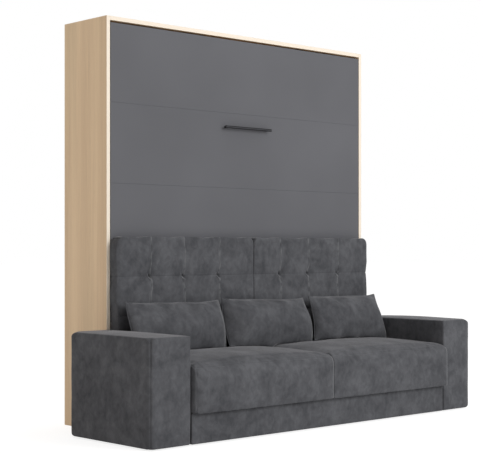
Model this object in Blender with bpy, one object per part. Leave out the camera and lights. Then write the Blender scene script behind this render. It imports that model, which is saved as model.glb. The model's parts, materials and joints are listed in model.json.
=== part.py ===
"""Wall bed with a sofa in front of it: a cabinet that stands against a wall, a bed that folds down out of it
on two pivots, and a three-seat sofa between whose arms the bed comes down. Metres, +Z up, +X to the right of
someone who faces it, -Y towards that person. The origin is on the floor, in the middle of the whole outline.
Left and right in the names are those of that person too.
"""

import math

import bmesh
import bpy
import numpy as np
from mathutils import Matrix, Vector

# Cabinet
CABINET_WIDTH = 1.975
CABINET_HEIGHT = 2.175
CABINET_DEPTH = 0.382
BOARD = 0.022
CABINET_EDGE_ROUND = 0.0008
KICK_BOARD_THICKNESS = 0.018
KICK_BOARD_GAP = 0.007
BACK_RAIL_HEIGHT = 0.12
STOP_BLOCK_HEIGHT = 0.05
STOP_BLOCK_DEPTH = 0.03
STOP_BLOCK_DROP = 0.18

# Sofa, measured from the front of the cabinet
ARM_WIDTH = 0.2541
ARM_INSET = 0.0151
ARM_REACH = 0.6625
ARM_HEIGHT = 0.545
ARM_CROWN = 0.010
ARM_ROUND = 0.008
ARM_OUTER_ROUND = 0.026
SOFA_GLIDE_HEIGHT = 0.0064
SOFA_GLIDE_RADIUS = 0.02
SOFA_GLIDE_INSET = 0.06
BASE_HEIGHT = 0.159
BASE_FRONT_THICKNESS = 0.04
BASE_FRONT_ROUND = 0.006
BASE_BOARD = 0.018
BASE_BACK_SETBACK = 0.11
SEAT_SETBACK = 0.09
SEAT_OVERHANG = 0.0325
SEAT_CUSHION_HEIGHT = 0.244
SEAT_CUSHION_CROWN = 0.026
SEAT_CUSHION_BULGE = 0.003
SEAT_CUSHION_ROUND = 0.012
SEAT_CUSHION_TOP_ROUND = 0.042
SEAT_CUSHION_SIDE_GAP = 0.0045
CUSHION_SEAM_GAP = 0.0012

# Back cushions, on the front of the bed
BACKREST_BOTTOM = 0.445
BACKREST_TOP = 1.0165
BACKREST_FRONT = 0.075
BACKREST_ROUND = 0.024
BACKREST_PANEL_THICKNESS = 0.012
BACKREST_PANEL_MARGIN = 0.012
TUFT_ROW_PITCH = 0.206
TUFT_COLUMN_SHARES = (0.25, 0.5, 0.75)
TUFT_LINE_DEPTH = 0.006
TUFT_LINE_HALF_WIDTH = 0.016
TUFT_POINT_DEPTH = 0.016

# Loose lumbar pillows
PILLOW_COUNT = 3
PILLOW_GAP = 0.012
PILLOW_HEIGHT = 0.285
PILLOW_THICKNESS = 0.135
PILLOW_LEAN_DEG = 19.0
PILLOW_CORNER_PULL = 0.016
PILLOW_SETTLE = 0.0009

# Bed
BED_UNDERSIDE = 0.530
PIVOT_SETBACK = 0.012
FRONT_BOARD = 0.018
FRONT_SIDE_GAP = 0.0035
FRONT_TOP_GAP = 0.011
FRONT_TOP_BOARD_HEIGHT = 0.4165
FRONT_FOOT_BOARD_HEIGHT = 0.2581
FRONT_MIDDLE_BOARDS = 3
FRONT_SEAM_GAP = 0.0012
FRONT_EDGE_ROUND = 0.0006
BED_FOOT_HEIGHT = 0.193
MATTRESS_THICKNESS = 0.155
MATTRESS_ROUND = 0.04
MATTRESS_SIDE_GAP = 0.003
MATTRESS_END_GAP = 0.0025
RAIL_THICKNESS = 0.022
RAIL_DEPTH = 0.097
LEDGER_WIDTH = 0.018
LEDGER_DEPTH = 0.027
CENTRE_BEAM_WIDTH = 0.04
SLAT_COUNT = 14
SLAT_WIDTH = 0.068
SLAT_THICKNESS = 0.008
STRAP_WIDTH = 0.04
STRAP_THICKNESS = 0.0012
STRAP_TUCK = 0.12
STRAP_SHARES = (0.36, 0.72)

# Handle
HANDLE_DROP = 0.0815
HANDLE_LENGTH = 0.356
HANDLE_HEIGHT = 0.014
HANDLE_DEPTH = 0.011
HANDLE_STAND_OFF = 0.022
HANDLE_POST_SPACING = 0.32
HANDLE_POST_RADIUS = 0.0055
HANDLE_ROUND = 0.002

# Swing-out legs in the slot over the head rail
LEG_THICKNESS = 0.005
LEG_WIDTH = 0.036
LEG_SLOT_GAP = 0.0012
LEG_PIVOT_INSET = 0.065
LEG_PIVOT_SETBACK = 0.05
LEG_SHOE_LENGTH = 0.014
LEG_SHOE_OVERHANG = 0.002
LEG_SHOE_EXTRA = 0.0005
LEG_FLOOR_GAP = 0.0005
LEG_BOLT_RADIUS = 0.004
LEG_BOLT_HEAD_RADIUS = 0.007
LEG_BOLT_HEAD_HEIGHT = 0.002

# Pivots
PIVOT_SPACE = 0.037
PIVOT_PIN_RADIUS = 0.008
PIVOT_BOSS_WALL = 0.003
PIVOT_FLANGE_RADIUS = 0.0115
PIVOT_FLANGE_STEP = 0.0004
PIVOT_PLATE_THICKNESS = 0.004
BRACKET_PLATE_THICKNESS = 0.002
BRACKET_DEPTH = 0.10
BRACKET_DROP = 0.05
BRACKET_RISE = 0.10
PIVOT_NOTCH_HALF_HEIGHT = 0.03
PLATE_ROUND = 0.012
PLATE_SCREW_RADIUS = 0.005
PLATE_SCREW_HEIGHT = 0.0015

# Gas springs
SPRING_ANCHOR_SETBACK = 0.09
SPRING_ANCHOR_RISE = 0.45
SPRING_CRANK_RADIUS = 0.09
SPRING_CRANK_REST_DEG = -70.0
SPRING_TUBE_RADIUS = 0.010
SPRING_TUBE_LENGTH = 0.28
SPRING_EYE_RADIUS = 0.009
SPRING_EYE_WIDTH = 0.012
SPRING_ROD_RADIUS = 0.004
SPRING_ROD_LENGTH = 0.36
SPRING_STUD_RADIUS = 0.0045
SPRING_STUD_LENGTH = 0.0022
SPRING_OPEN_PIVOT_GAP = 0.0008
SPRING_BRACKET_SIZE = 0.05

# Clearances
SEAT_GAP = 0.0003
RUNNING_GAP = 0.0005
CUT_OVERRUN = 0.01
ROUND_SIDES = 24
SMALL_ROUND_SIDES = 16
GLIDE_SIDES = 12

# Places that follow from the sizes above
SOFA_REACH = ARM_REACH + SEAT_OVERHANG
BACK_Y = (SOFA_REACH + CABINET_DEPTH) / 2
FRONT_Y = BACK_Y - CABINET_DEPTH
SIDE_INNER_X = CABINET_WIDTH / 2 - BOARD
TOP_UNDERSIDE = CABINET_HEIGHT - BOARD
PIVOT_Y = FRONT_Y + PIVOT_SETBACK
PIVOT_Z = BED_UNDERSIDE + PIVOT_SETBACK
BED_TOP = TOP_UNDERSIDE - FRONT_TOP_GAP
FRONT_HALF_WIDTH = SIDE_INNER_X - FRONT_SIDE_GAP
RAIL_OUTER_X = FRONT_HALF_WIDTH - PIVOT_SPACE
RAIL_INNER_X = RAIL_OUTER_X - RAIL_THICKNESS
RAIL_FRONT_Y = FRONT_Y + FRONT_BOARD + SEAT_GAP
RAIL_BACK_Y = RAIL_FRONT_Y + RAIL_DEPTH
LEDGER_BACK_Y = RAIL_FRONT_Y + LEDGER_DEPTH
SLAT_FRONT_Y = LEDGER_BACK_Y + SEAT_GAP
MATTRESS_FRONT_Y = SLAT_FRONT_Y + SLAT_THICKNESS + SEAT_GAP
MATTRESS_BACK_Y = MATTRESS_FRONT_Y + MATTRESS_THICKNESS
MATTRESS_WIDTH = 2 * (RAIL_INNER_X - MATTRESS_SIDE_GAP)
MATTRESS_FOOT = BED_FOOT_HEIGHT + RAIL_THICKNESS + MATTRESS_END_GAP
MATTRESS_LENGTH = BED_TOP - RAIL_THICKNESS - MATTRESS_END_GAP - MATTRESS_FOOT
FRONT_SEAM_TOP = BED_TOP - FRONT_TOP_BOARD_HEIGHT
HANDLE_CENTRE_HEIGHT = FRONT_SEAM_TOP - HANDLE_DROP
FRONT_SEAM_FOOT = BED_FOOT_HEIGHT + FRONT_FOOT_BOARD_HEIGHT
FRONT_SEAM_PITCH = (FRONT_SEAM_TOP - FRONT_SEAM_FOOT) / FRONT_MIDDLE_BOARDS
SEAT_HALF_WIDTH = CABINET_WIDTH / 2 - ARM_INSET
PILLOW_PITCH = 2 * SEAT_HALF_WIDTH / PILLOW_COUNT
PILLOW_WIDTH = PILLOW_PITCH - PILLOW_GAP
SEAT_DECK_TOP = BASE_HEIGHT
SEAT_TOP = SEAT_DECK_TOP + SEAT_GAP + SEAT_CUSHION_HEIGHT + SEAT_CUSHION_CROWN
SIDES = (("left", -1), ("right", 1))

# Colours as linear red, green and blue
WOOD = (0.56, 0.42, 0.27, 1)
GREY_FRONT = (0.145, 0.15, 0.16, 1)
VELVET = (0.085, 0.09, 0.10, 1)
BLACK = (0.015, 0.015, 0.017, 1)
STEEL = (0.55, 0.55, 0.56, 1)
BEECH = (0.66, 0.47, 0.28, 1)
PLY = (0.52, 0.38, 0.23, 1)
TICKING = (0.78, 0.77, 0.74, 1)

MATERIALS = {}
EMPTY_PLACES = {}


def clear_scene():
    for obj in list(bpy.data.objects):
        bpy.data.objects.remove(obj)


def material(name, colour, roughness, metallic=0.0):
    made = bpy.data.materials.new(name)
    made.use_nodes = True
    shader = made.node_tree.nodes["Principled BSDF"]
    shader.inputs["Base Color"].default_value = colour
    shader.inputs["Roughness"].default_value = roughness
    shader.inputs["Metallic"].default_value = metallic
    MATERIALS[name] = made


def make_materials():
    material("carcass_wood", WOOD, 0.55)
    material("front_laminate", GREY_FRONT, 0.45)
    material("velvet", VELVET, 0.9)
    material("black_metal", BLACK, 0.4, 0.8)
    material("zinc_steel", STEEL, 0.35, 1.0)
    material("black_plastic", BLACK, 0.6)
    material("beech", BEECH, 0.5)
    material("plywood", PLY, 0.7)
    material("ticking", TICKING, 0.95)
    material("webbing", BLACK, 0.9)


def pivot_empty(name, place, parent=None):
    """An empty on a joint's axis, which the pieces of a moving body hang on."""
    empty = bpy.data.objects.new(name, None)
    bpy.context.scene.collection.objects.link(empty)
    EMPTY_PLACES[name] = Vector(place)
    empty.location = Vector(place)
    if parent:
        empty.parent = bpy.data.objects[parent]
        empty.location = Vector(place) - EMPTY_PLACES[parent]
    return name


def piece(name, mesh, place, slot, body=None, smooth=False):
    """A named object whose mesh is centred on its own place, hung on its body's empty."""
    obj = bpy.data.objects.new(name, mesh)
    bpy.context.scene.collection.objects.link(obj)
    obj.location = Vector(place)
    if body:
        obj.parent = bpy.data.objects[body]
        obj.location = Vector(place) - EMPTY_PLACES[body]
    mesh.materials.append(MATERIALS[slot])
    if smooth:
        mesh.shade_smooth()
        mesh.set_sharp_from_angle(angle=math.radians(35))
    return obj


def mesh_from(bm, name):
    bmesh.ops.recalc_face_normals(bm, faces=bm.faces)
    mesh = bpy.data.meshes.new(name)
    bm.to_mesh(mesh)
    bm.free()
    return mesh


def add_block(bm, low, high, centre):
    """Adds a closed block between two corners to bm, with its points counted from centre."""
    low, high = Vector(low), Vector(high)
    size = high - low
    middle = (low + high) / 2 - Vector(centre)
    scale = Matrix.Diagonal((size.x, size.y, size.z, 1))
    bmesh.ops.create_cube(bm, size=1, matrix=Matrix.Translation(middle) @ scale)


def block(name, low, high, slot, body=None, rounding=0.0, rounding_steps=1):
    """A board or bar between two corners, with a Bevel where it has a rounded edge."""
    centre = (Vector(low) + Vector(high)) / 2
    bm = bmesh.new()
    add_block(bm, low, high, centre)
    obj = piece(name, mesh_from(bm, name), centre, slot, body)
    if rounding:
        bevel = obj.modifiers.new("edges", "BEVEL")
        bevel.width = rounding
        bevel.segments = rounding_steps
    return obj


def turned(bm, profile, matrix, sides):
    """Adds a turned body to bm. profile is (radius, height), from the axis at the bottom back to the axis."""
    rings = []
    for radius, height in profile:
        if radius == 0:
            rings.append([bm.verts.new(matrix @ Vector((0, 0, height)))])
            continue
        ring = []
        for k in range(sides):
            turn = 2 * math.pi * k / sides
            point = Vector((radius * math.cos(turn), radius * math.sin(turn), height))
            ring.append(bm.verts.new(matrix @ point))
        rings.append(ring)
    for lower, upper in zip(rings, rings[1:]):
        for k in range(sides):
            corner = [lower[k % len(lower)], lower[(k + 1) % len(lower)]]
            corner += [upper[(k + 1) % len(upper)], upper[k % len(upper)]]
            unique = list(dict.fromkeys(corner))
            bm.faces.new(unique)


def along_x(sign, place):
    """A turned body's axis laid along X, away from the middle where sign is 1."""
    return Matrix.Translation(place) @ Matrix.Rotation(sign * math.pi / 2, 4, "Y")


def turned_piece(name, place, profile, slot, body=None, turn=Matrix(), sides=SMALL_ROUND_SIDES):
    """A pin, post or bolt: a turned body whose axis runs as turn says."""
    bm = bmesh.new()
    turned(bm, profile, turn, sides)
    return piece(name, mesh_from(bm, name), place, slot, body, smooth=True)


def join_with_union(bm_base, name, additions):
    """The solid that a base body makes with others sunk into it. additions are bmesh bodies."""
    base = bpy.data.objects.new(name + "_base", mesh_from(bm_base, name))
    bpy.context.scene.collection.objects.link(base)
    helpers = []
    for number, added in enumerate(additions):
        helper = bpy.data.objects.new(f"{name}_add_{number}", mesh_from(added, f"{name}_add"))
        bpy.context.scene.collection.objects.link(helper)
        helper.hide_render = True
        helper.display_type = "WIRE"
        helpers.append(helper)
        union = base.modifiers.new(f"join_{number}", "BOOLEAN")
        union.operation = "UNION"
        union.object = helper
    return solid_of(base, helpers, name)


def solid_of(base, helpers, name):
    """The evaluated mesh of base, once its helpers have shaped it. Base and helpers are then removed."""
    bpy.context.view_layer.update()
    graph = bpy.context.evaluated_depsgraph_get()
    mesh = bpy.data.meshes.new_from_object(base.evaluated_get(graph))
    mesh.name = name
    for obj in [base, *helpers]:
        bpy.data.objects.remove(obj)
    return mesh


def cut(bm_base, name, cutters):
    base = bpy.data.objects.new(name + "_base", mesh_from(bm_base, name))
    bpy.context.scene.collection.objects.link(base)
    helpers = []
    for number, cutter in enumerate(cutters):
        helper = bpy.data.objects.new(f"{name}_cutter_{number}", mesh_from(cutter, f"{name}_cutter"))
        bpy.context.scene.collection.objects.link(helper)
        helper.hide_render = True
        helper.display_type = "WIRE"
        helpers.append(helper)
        difference = base.modifiers.new(f"cut_{number}", "BOOLEAN")
        difference.operation = "DIFFERENCE"
        difference.object = helper
    return solid_of(base, helpers, name)


def edge_stations(half, rounding, steps, inner):
    """Places along one side of a soft block: its rounded ends in equal angles, and its own inner places."""
    quarter = math.pi / 4
    ends = [half - rounding + rounding * math.tan(quarter * k / steps) for k in range(steps + 1)]
    return sorted([-e for e in ends] + list(inner) + ends)


def soft_block(half, rounding, steps, inner_places, shape):
    """A closed block with rounded edges, a grid on each of its six sides. shape moves each finished point."""
    stations = [edge_stations(half[a], rounding, steps, inner_places[a]) for a in range(3)]
    bm = bmesh.new()
    made = {}

    def vert(cube_point):
        key = tuple(round(c, 7) for c in cube_point)
        if key not in made:
            core = Vector(max(-(h - rounding), min(h - rounding, c)) for c, h in zip(cube_point, half))
            out = Vector(cube_point) - core
            if out.length > rounding / 1000:
                out = out.normalized() * rounding
            made[key] = bm.verts.new(shape(core + out))
        return made[key]

    for axis in range(3):
        u_axis, v_axis = [other for other in range(3) if other != axis]
        us, vs = stations[u_axis], stations[v_axis]
        for side in (-1, 1):
            for u0, u1 in zip(us, us[1:]):
                for v0, v1 in zip(vs, vs[1:]):
                    corners = []
                    for u, v in ((u0, v0), (u1, v0), (u1, v1), (u0, v1)):
                        point = [0.0, 0.0, 0.0]
                        point[axis], point[u_axis], point[v_axis] = side * half[axis], u, v
                        corners.append(vert(point))
                    bm.faces.new(corners)
    return bm


def evenly(half, rounding, count):
    """count places spread evenly over the flat part of a side."""
    reach = half - rounding
    return [reach * (2 * (k + 1) / (count + 1) - 1) for k in range(count)]


def bump(share):
    """1 in the middle of a side and 0 at its ends."""
    return max(0.0, 1 - share * share)


def make_cabinet():
    for name, side in SIDES:
        xs = sorted((side * SIDE_INNER_X, side * CABINET_WIDTH / 2))
        low, high = (xs[0], FRONT_Y, 0), (xs[1], BACK_Y, CABINET_HEIGHT)
        block(f"cabinet_side_{name}", low, high, "carcass_wood", rounding=CABINET_EDGE_ROUND)
    reach = SIDE_INNER_X - SEAT_GAP
    low, high = (-reach, FRONT_Y, TOP_UNDERSIDE), (reach, BACK_Y, CABINET_HEIGHT)
    block("cabinet_top", low, high, "carcass_wood", rounding=CABINET_EDGE_ROUND)
    high = (reach, FRONT_Y + KICK_BOARD_THICKNESS, BED_FOOT_HEIGHT - KICK_BOARD_GAP)
    block("kick_board", (-reach, FRONT_Y, 0), high, "carcass_wood")
    rail_top = TOP_UNDERSIDE - SEAT_GAP
    low, high = (-reach, BACK_Y - BOARD, rail_top - BACK_RAIL_HEIGHT), (reach, BACK_Y, rail_top)
    block("back_rail_top", low, high, "carcass_wood")
    block("back_rail_bottom", (-reach, BACK_Y - BOARD, 0), (reach, BACK_Y, BACK_RAIL_HEIGHT), "carcass_wood")

    stop_top = BED_TOP - STOP_BLOCK_DROP
    for name, side in SIDES:
        xs = sorted((side * (RAIL_INNER_X + RAIL_THICKNESS / 3), side * reach))
        low = (xs[0], RAIL_BACK_Y + SEAT_GAP, stop_top - STOP_BLOCK_HEIGHT)
        high = (xs[1], RAIL_BACK_Y + SEAT_GAP + STOP_BLOCK_DEPTH, stop_top)
        block(f"stop_block_{name}", low, high, "black_plastic")


def make_front_boards(body):
    """The five boards of the bed's front, from the top down. One has a notch at each end for a pivot."""
    tops = [BED_TOP]
    seams = [FRONT_SEAM_TOP - FRONT_SEAM_PITCH * k for k in range(FRONT_MIDDLE_BOARDS + 1)]
    tops += [seam - FRONT_SEAM_GAP / 2 for seam in seams]
    bottoms = [seam + FRONT_SEAM_GAP / 2 for seam in seams] + [BED_FOOT_HEIGHT]
    for number, (top, bottom) in enumerate(zip(tops, bottoms), start=1):
        name = f"front_board_{number}"
        low = Vector((-FRONT_HALF_WIDTH, FRONT_Y, bottom))
        high = Vector((FRONT_HALF_WIDTH, FRONT_Y + FRONT_BOARD, top))
        if not bottom < PIVOT_Z < top:
            block(name, low, high, "front_laminate", body, FRONT_EDGE_ROUND)
            continue
        centre = (low + high) / 2
        base = bmesh.new()
        add_block(base, low, high, centre)
        cutters = []
        for _, side in SIDES:
            xs = sorted((side * (RAIL_OUTER_X - SEAT_GAP), side * (FRONT_HALF_WIDTH + CUT_OVERRUN)))
            cutter = bmesh.new()
            near = (xs[0], FRONT_Y - CUT_OVERRUN, PIVOT_Z - PIVOT_NOTCH_HALF_HEIGHT)
            far = (xs[1], FRONT_Y + FRONT_BOARD + CUT_OVERRUN, PIVOT_Z + PIVOT_NOTCH_HALF_HEIGHT)
            add_block(cutter, near, far, centre)
            cutters.append(cutter)
        piece(name, cut(base, name, cutters), centre, "front_laminate", body)


def make_bed_frame(body):
    for name, side in SIDES:
        xs = sorted((side * RAIL_INNER_X, side * RAIL_OUTER_X))
        low, high = (xs[0], RAIL_FRONT_Y, BED_FOOT_HEIGHT), (xs[1], RAIL_BACK_Y, BED_TOP)
        block(f"side_rail_{name}", low, high, "carcass_wood", body, CABINET_EDGE_ROUND)
    reach = RAIL_INNER_X - SEAT_GAP
    head_bottom = BED_TOP - RAIL_THICKNESS
    foot_top = BED_FOOT_HEIGHT + RAIL_THICKNESS
    low, high = (-reach, RAIL_FRONT_Y, head_bottom), (reach, RAIL_BACK_Y, BED_TOP)
    block("head_rail", low, high, "carcass_wood", body)
    low, high = (-reach, RAIL_FRONT_Y, BED_FOOT_HEIGHT), (reach, RAIL_BACK_Y, foot_top)
    block("foot_rail", low, high, "carcass_wood", body)

    low_z, high_z = foot_top + SEAT_GAP, head_bottom - SEAT_GAP
    half = CENTRE_BEAM_WIDTH / 2
    block("centre_beam", (-half, RAIL_FRONT_Y, low_z), (half, LEDGER_BACK_Y, high_z), "beech", body)
    for name, side in SIDES:
        xs = sorted((side * (reach - LEDGER_WIDTH), side * reach))
        low, high = (xs[0], RAIL_FRONT_Y, low_z), (xs[1], LEDGER_BACK_Y, high_z)
        block(f"slat_ledger_{name}", low, high, "beech", body)
    make_slat_panel(body, low_z, high_z, reach)


def make_slat_panel(body, low_z, high_z, reach):
    """Cross slats and the three flat laths that they are let into, all in one plane."""
    half = CENTRE_BEAM_WIDTH / 2
    across = [-reach, -reach + LEDGER_WIDTH, -half, half, reach - LEDGER_WIDTH, reach]
    pitch = (high_z - low_z - SLAT_WIDTH) / (SLAT_COUNT - 1)
    upward = []
    for k in range(SLAT_COUNT):
        upward += [low_z + pitch * k, low_z + pitch * k + SLAT_WIDTH]
    centre = Vector((0, SLAT_FRONT_Y + SLAT_THICKNESS / 2, (low_z + high_z) / 2))
    y = -SLAT_THICKNESS / 2
    bm = bmesh.new()
    corners = [[bm.verts.new((x, y, z - centre.z)) for z in upward] for x in across]
    faces = []
    for i in range(len(across) - 1):
        between_laths = i in (1, 3)
        for j in range(len(upward) - 1):
            between_slats = j % 2 == 1
            if between_laths and between_slats:
                continue
            ring = [corners[i][j], corners[i + 1][j], corners[i + 1][j + 1], corners[i][j + 1]]
            faces.append(bm.faces.new(ring))
    grown = bmesh.ops.extrude_face_region(bm, geom=faces)["geom"]
    step = Vector((0, SLAT_THICKNESS, 0))
    bmesh.ops.translate(bm, vec=step, verts=[v for v in grown if isinstance(v, bmesh.types.BMVert)])
    piece("slat_panel", mesh_from(bm, "slat_panel"), centre, "beech", body)


def make_mattress(body):
    centre = Vector((0, (MATTRESS_FRONT_Y + MATTRESS_BACK_Y) / 2, MATTRESS_FOOT + MATTRESS_LENGTH / 2))
    half = (MATTRESS_WIDTH / 2, MATTRESS_THICKNESS / 2, MATTRESS_LENGTH / 2)
    bm = soft_block(half, MATTRESS_ROUND, 2, ([0.0], [], [0.0]), Vector)
    piece("mattress", mesh_from(bm, "mattress"), centre, "ticking", body, smooth=True)

    face_y = MATTRESS_BACK_Y + SEAT_GAP
    outer_x = MATTRESS_WIDTH / 2 + MATTRESS_SIDE_GAP / 2 + STRAP_THICKNESS / 2
    inner_x = outer_x - STRAP_THICKNESS
    tuck_y = MATTRESS_BACK_Y - STRAP_TUCK
    over_y = face_y + STRAP_THICKNESS
    outline = [(-outer_x, tuck_y), (-outer_x, over_y), (outer_x, over_y), (outer_x, tuck_y)]
    outline += [(inner_x, tuck_y), (inner_x, face_y), (-inner_x, face_y), (-inner_x, tuck_y)]
    for name, share in zip(("lower", "upper"), STRAP_SHARES):
        bm = bmesh.new()
        bottom = MATTRESS_LENGTH * (share - 0.5)
        face = bm.faces.new([bm.verts.new((x, y - centre.y, bottom)) for x, y in outline])
        grown = bmesh.ops.extrude_face_region(bm, geom=[face])["geom"]
        rise = Vector((0, 0, STRAP_WIDTH))
        bmesh.ops.translate(bm, vec=rise, verts=[v for v in grown if isinstance(v, bmesh.types.BMVert)])
        piece(f"mattress_strap_{name}", mesh_from(bm, "mattress_strap"), centre, "webbing", body)


def make_handle(body):
    back_y = FRONT_Y - HANDLE_STAND_OFF
    low = (-HANDLE_LENGTH / 2, back_y - HANDLE_DEPTH, HANDLE_CENTRE_HEIGHT - HANDLE_HEIGHT / 2)
    high = (HANDLE_LENGTH / 2, back_y, HANDLE_CENTRE_HEIGHT + HANDLE_HEIGHT / 2)
    block("handle_bar", low, high, "black_metal", body, HANDLE_ROUND, 2)
    length = HANDLE_STAND_OFF - 2 * SEAT_GAP
    profile = [(0, 0), (HANDLE_POST_RADIUS, 0), (HANDLE_POST_RADIUS, length), (0, length)]
    forward = Matrix.Rotation(math.pi / 2, 4, "X")
    for name, side in SIDES:
        place = (side * HANDLE_POST_SPACING / 2, FRONT_Y - SEAT_GAP, HANDLE_CENTRE_HEIGHT)
        turned_piece(f"handle_post_{name}", place, profile, "black_metal", body, forward)


def plate_outline(front, back, low, high, rounding, steps=3):
    """The corners of an upright plate seen along X, (y, z), each rounded."""
    points = []
    for cy, cz, start in (
        (back - rounding, high - rounding, 0),
        (front + rounding, high - rounding, 1),
        (front + rounding, low + rounding, 2),
        (back - rounding, low + rounding, 3),
    ):
        for k in range(steps + 1):
            turn = math.pi / 2 * (start + k / steps)
            points.append((cy + rounding * math.cos(turn), cz + rounding * math.sin(turn)))
    return points


def plate(outline, x0, x1, centre):
    """A flat plate across X with that outline in Y and Z."""
    bm = bmesh.new()
    face = bm.faces.new([bm.verts.new((x0 - centre[0], y - centre[1], z - centre[2])) for y, z in outline])
    grown = bmesh.ops.extrude_face_region(bm, geom=[face])["geom"]
    step = Vector((x1 - x0, 0, 0))
    bmesh.ops.translate(bm, vec=step, verts=[v for v in grown if isinstance(v, bmesh.types.BMVert)])
    return bm


def crank_point(turn_deg=0.0):
    """The bed's gas spring stud, (y, z), once the bed has turned by that much."""
    turn = math.radians(SPRING_CRANK_REST_DEG + turn_deg)
    return PIVOT_Y + SPRING_CRANK_RADIUS * math.cos(turn), PIVOT_Z + SPRING_CRANK_RADIUS * math.sin(turn)


def make_pivots(bed_body):
    """The bed's plates with their pins, and the cabinet's brackets with the bosses that the pins turn in."""
    plate_x0 = RAIL_OUTER_X + SEAT_GAP
    plate_x1 = plate_x0 + PIVOT_PLATE_THICKNESS
    bracket_x1 = SIDE_INNER_X - SEAT_GAP
    bracket_x0 = bracket_x1 - BRACKET_PLATE_THICKNESS
    boss_x0 = plate_x1 + RUNNING_GAP * 2
    bore = PIVOT_PIN_RADIUS + RUNNING_GAP
    boss_radius = bore + PIVOT_BOSS_WALL
    crank_y, crank_z = crank_point()
    for name, side in SIDES:
        axis_place = Vector((side * RAIL_OUTER_X, PIVOT_Y, PIVOT_Z))
        low_z, high_z = crank_z - PLATE_ROUND - SPRING_STUD_RADIUS, PIVOT_Z + BRACKET_RISE
        outline = plate_outline(RAIL_FRONT_Y, RAIL_BACK_Y, low_z, high_z, PLATE_ROUND)
        base = plate(outline, side * plate_x0, side * plate_x1, axis_place)
        pin, stud = bmesh.new(), bmesh.new()
        sunk, flange = PIVOT_PLATE_THICKNESS - PIVOT_FLANGE_STEP, PIVOT_FLANGE_RADIUS
        length = bracket_x0 - RUNNING_GAP - plate_x1
        profile = [(0, -sunk), (flange, -sunk), (flange, PIVOT_FLANGE_STEP)]
        profile += [(PIVOT_PIN_RADIUS, PIVOT_FLANGE_STEP), (PIVOT_PIN_RADIUS, length), (0, length)]
        turned(pin, profile, along_x(side, (side * plate_x1 - axis_place.x, 0, 0)), ROUND_SIDES)
        radius, length = SPRING_STUD_RADIUS, SPRING_STUD_LENGTH
        profile = [(0, -sunk), (radius, -sunk), (radius, length), (0, length)]
        stud_place = (side * plate_x1 - axis_place.x, crank_y - PIVOT_Y, crank_z - PIVOT_Z)
        turned(stud, profile, along_x(side, stud_place), SMALL_ROUND_SIDES)
        mesh = join_with_union(base, f"bed_pivot_plate_{name}", [pin, stud])
        piece(f"bed_pivot_plate_{name}", mesh, axis_place, "zinc_steel", bed_body, smooth=True)

        low_z, high_z = PIVOT_Z - BRACKET_DROP, PIVOT_Z + BRACKET_RISE
        outline = plate_outline(FRONT_Y + SEAT_GAP, FRONT_Y + BRACKET_DEPTH, low_z, high_z, PLATE_ROUND)
        base = plate(outline, side * bracket_x0, side * bracket_x1, axis_place)
        boss, bore_cutter = bmesh.new(), bmesh.new()
        length = bracket_x1 - BRACKET_PLATE_THICKNESS / 2 - boss_x0
        profile = [(0, 0), (boss_radius, 0), (boss_radius, length), (0, length)]
        turned(boss, profile, along_x(side, (side * boss_x0 - axis_place.x, 0, 0)), ROUND_SIDES)
        depth = bracket_x0 - boss_x0
        profile = [(0, -CUT_OVERRUN), (bore, -CUT_OVERRUN), (bore, depth), (0, depth)]
        turned(bore_cutter, profile, along_x(side, (side * boss_x0 - axis_place.x, 0, 0)), ROUND_SIDES)
        mesh = join_with_union(base, f"pivot_bracket_{name}", [boss])
        hollow = bmesh.new()
        hollow.from_mesh(mesh)
        mesh = cut(hollow, f"pivot_bracket_{name}", [bore_cutter])
        piece(f"pivot_bracket_{name}", mesh, axis_place, "zinc_steel", smooth=True)


def spring_frame(side):
    """Where a gas spring hangs at rest: its anchor, a turn whose Z runs to the bed's stud, and its length."""
    anchor = Vector((0, FRONT_Y + SPRING_ANCHOR_SETBACK, PIVOT_Z + SPRING_ANCHOR_RISE))
    crank_y, crank_z = crank_point()
    line = Vector((0, crank_y, crank_z)) - anchor
    turn = Matrix.Rotation(math.atan2(-line.y, line.z), 4, "X")
    plate_x1 = RAIL_OUTER_X + SEAT_GAP + PIVOT_PLATE_THICKNESS
    middle_x = plate_x1 + SPRING_STUD_LENGTH + SPRING_OPEN_PIVOT_GAP + SPRING_EYE_WIDTH / 2
    anchor.x = side * middle_x
    return anchor, turn, line.length


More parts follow.
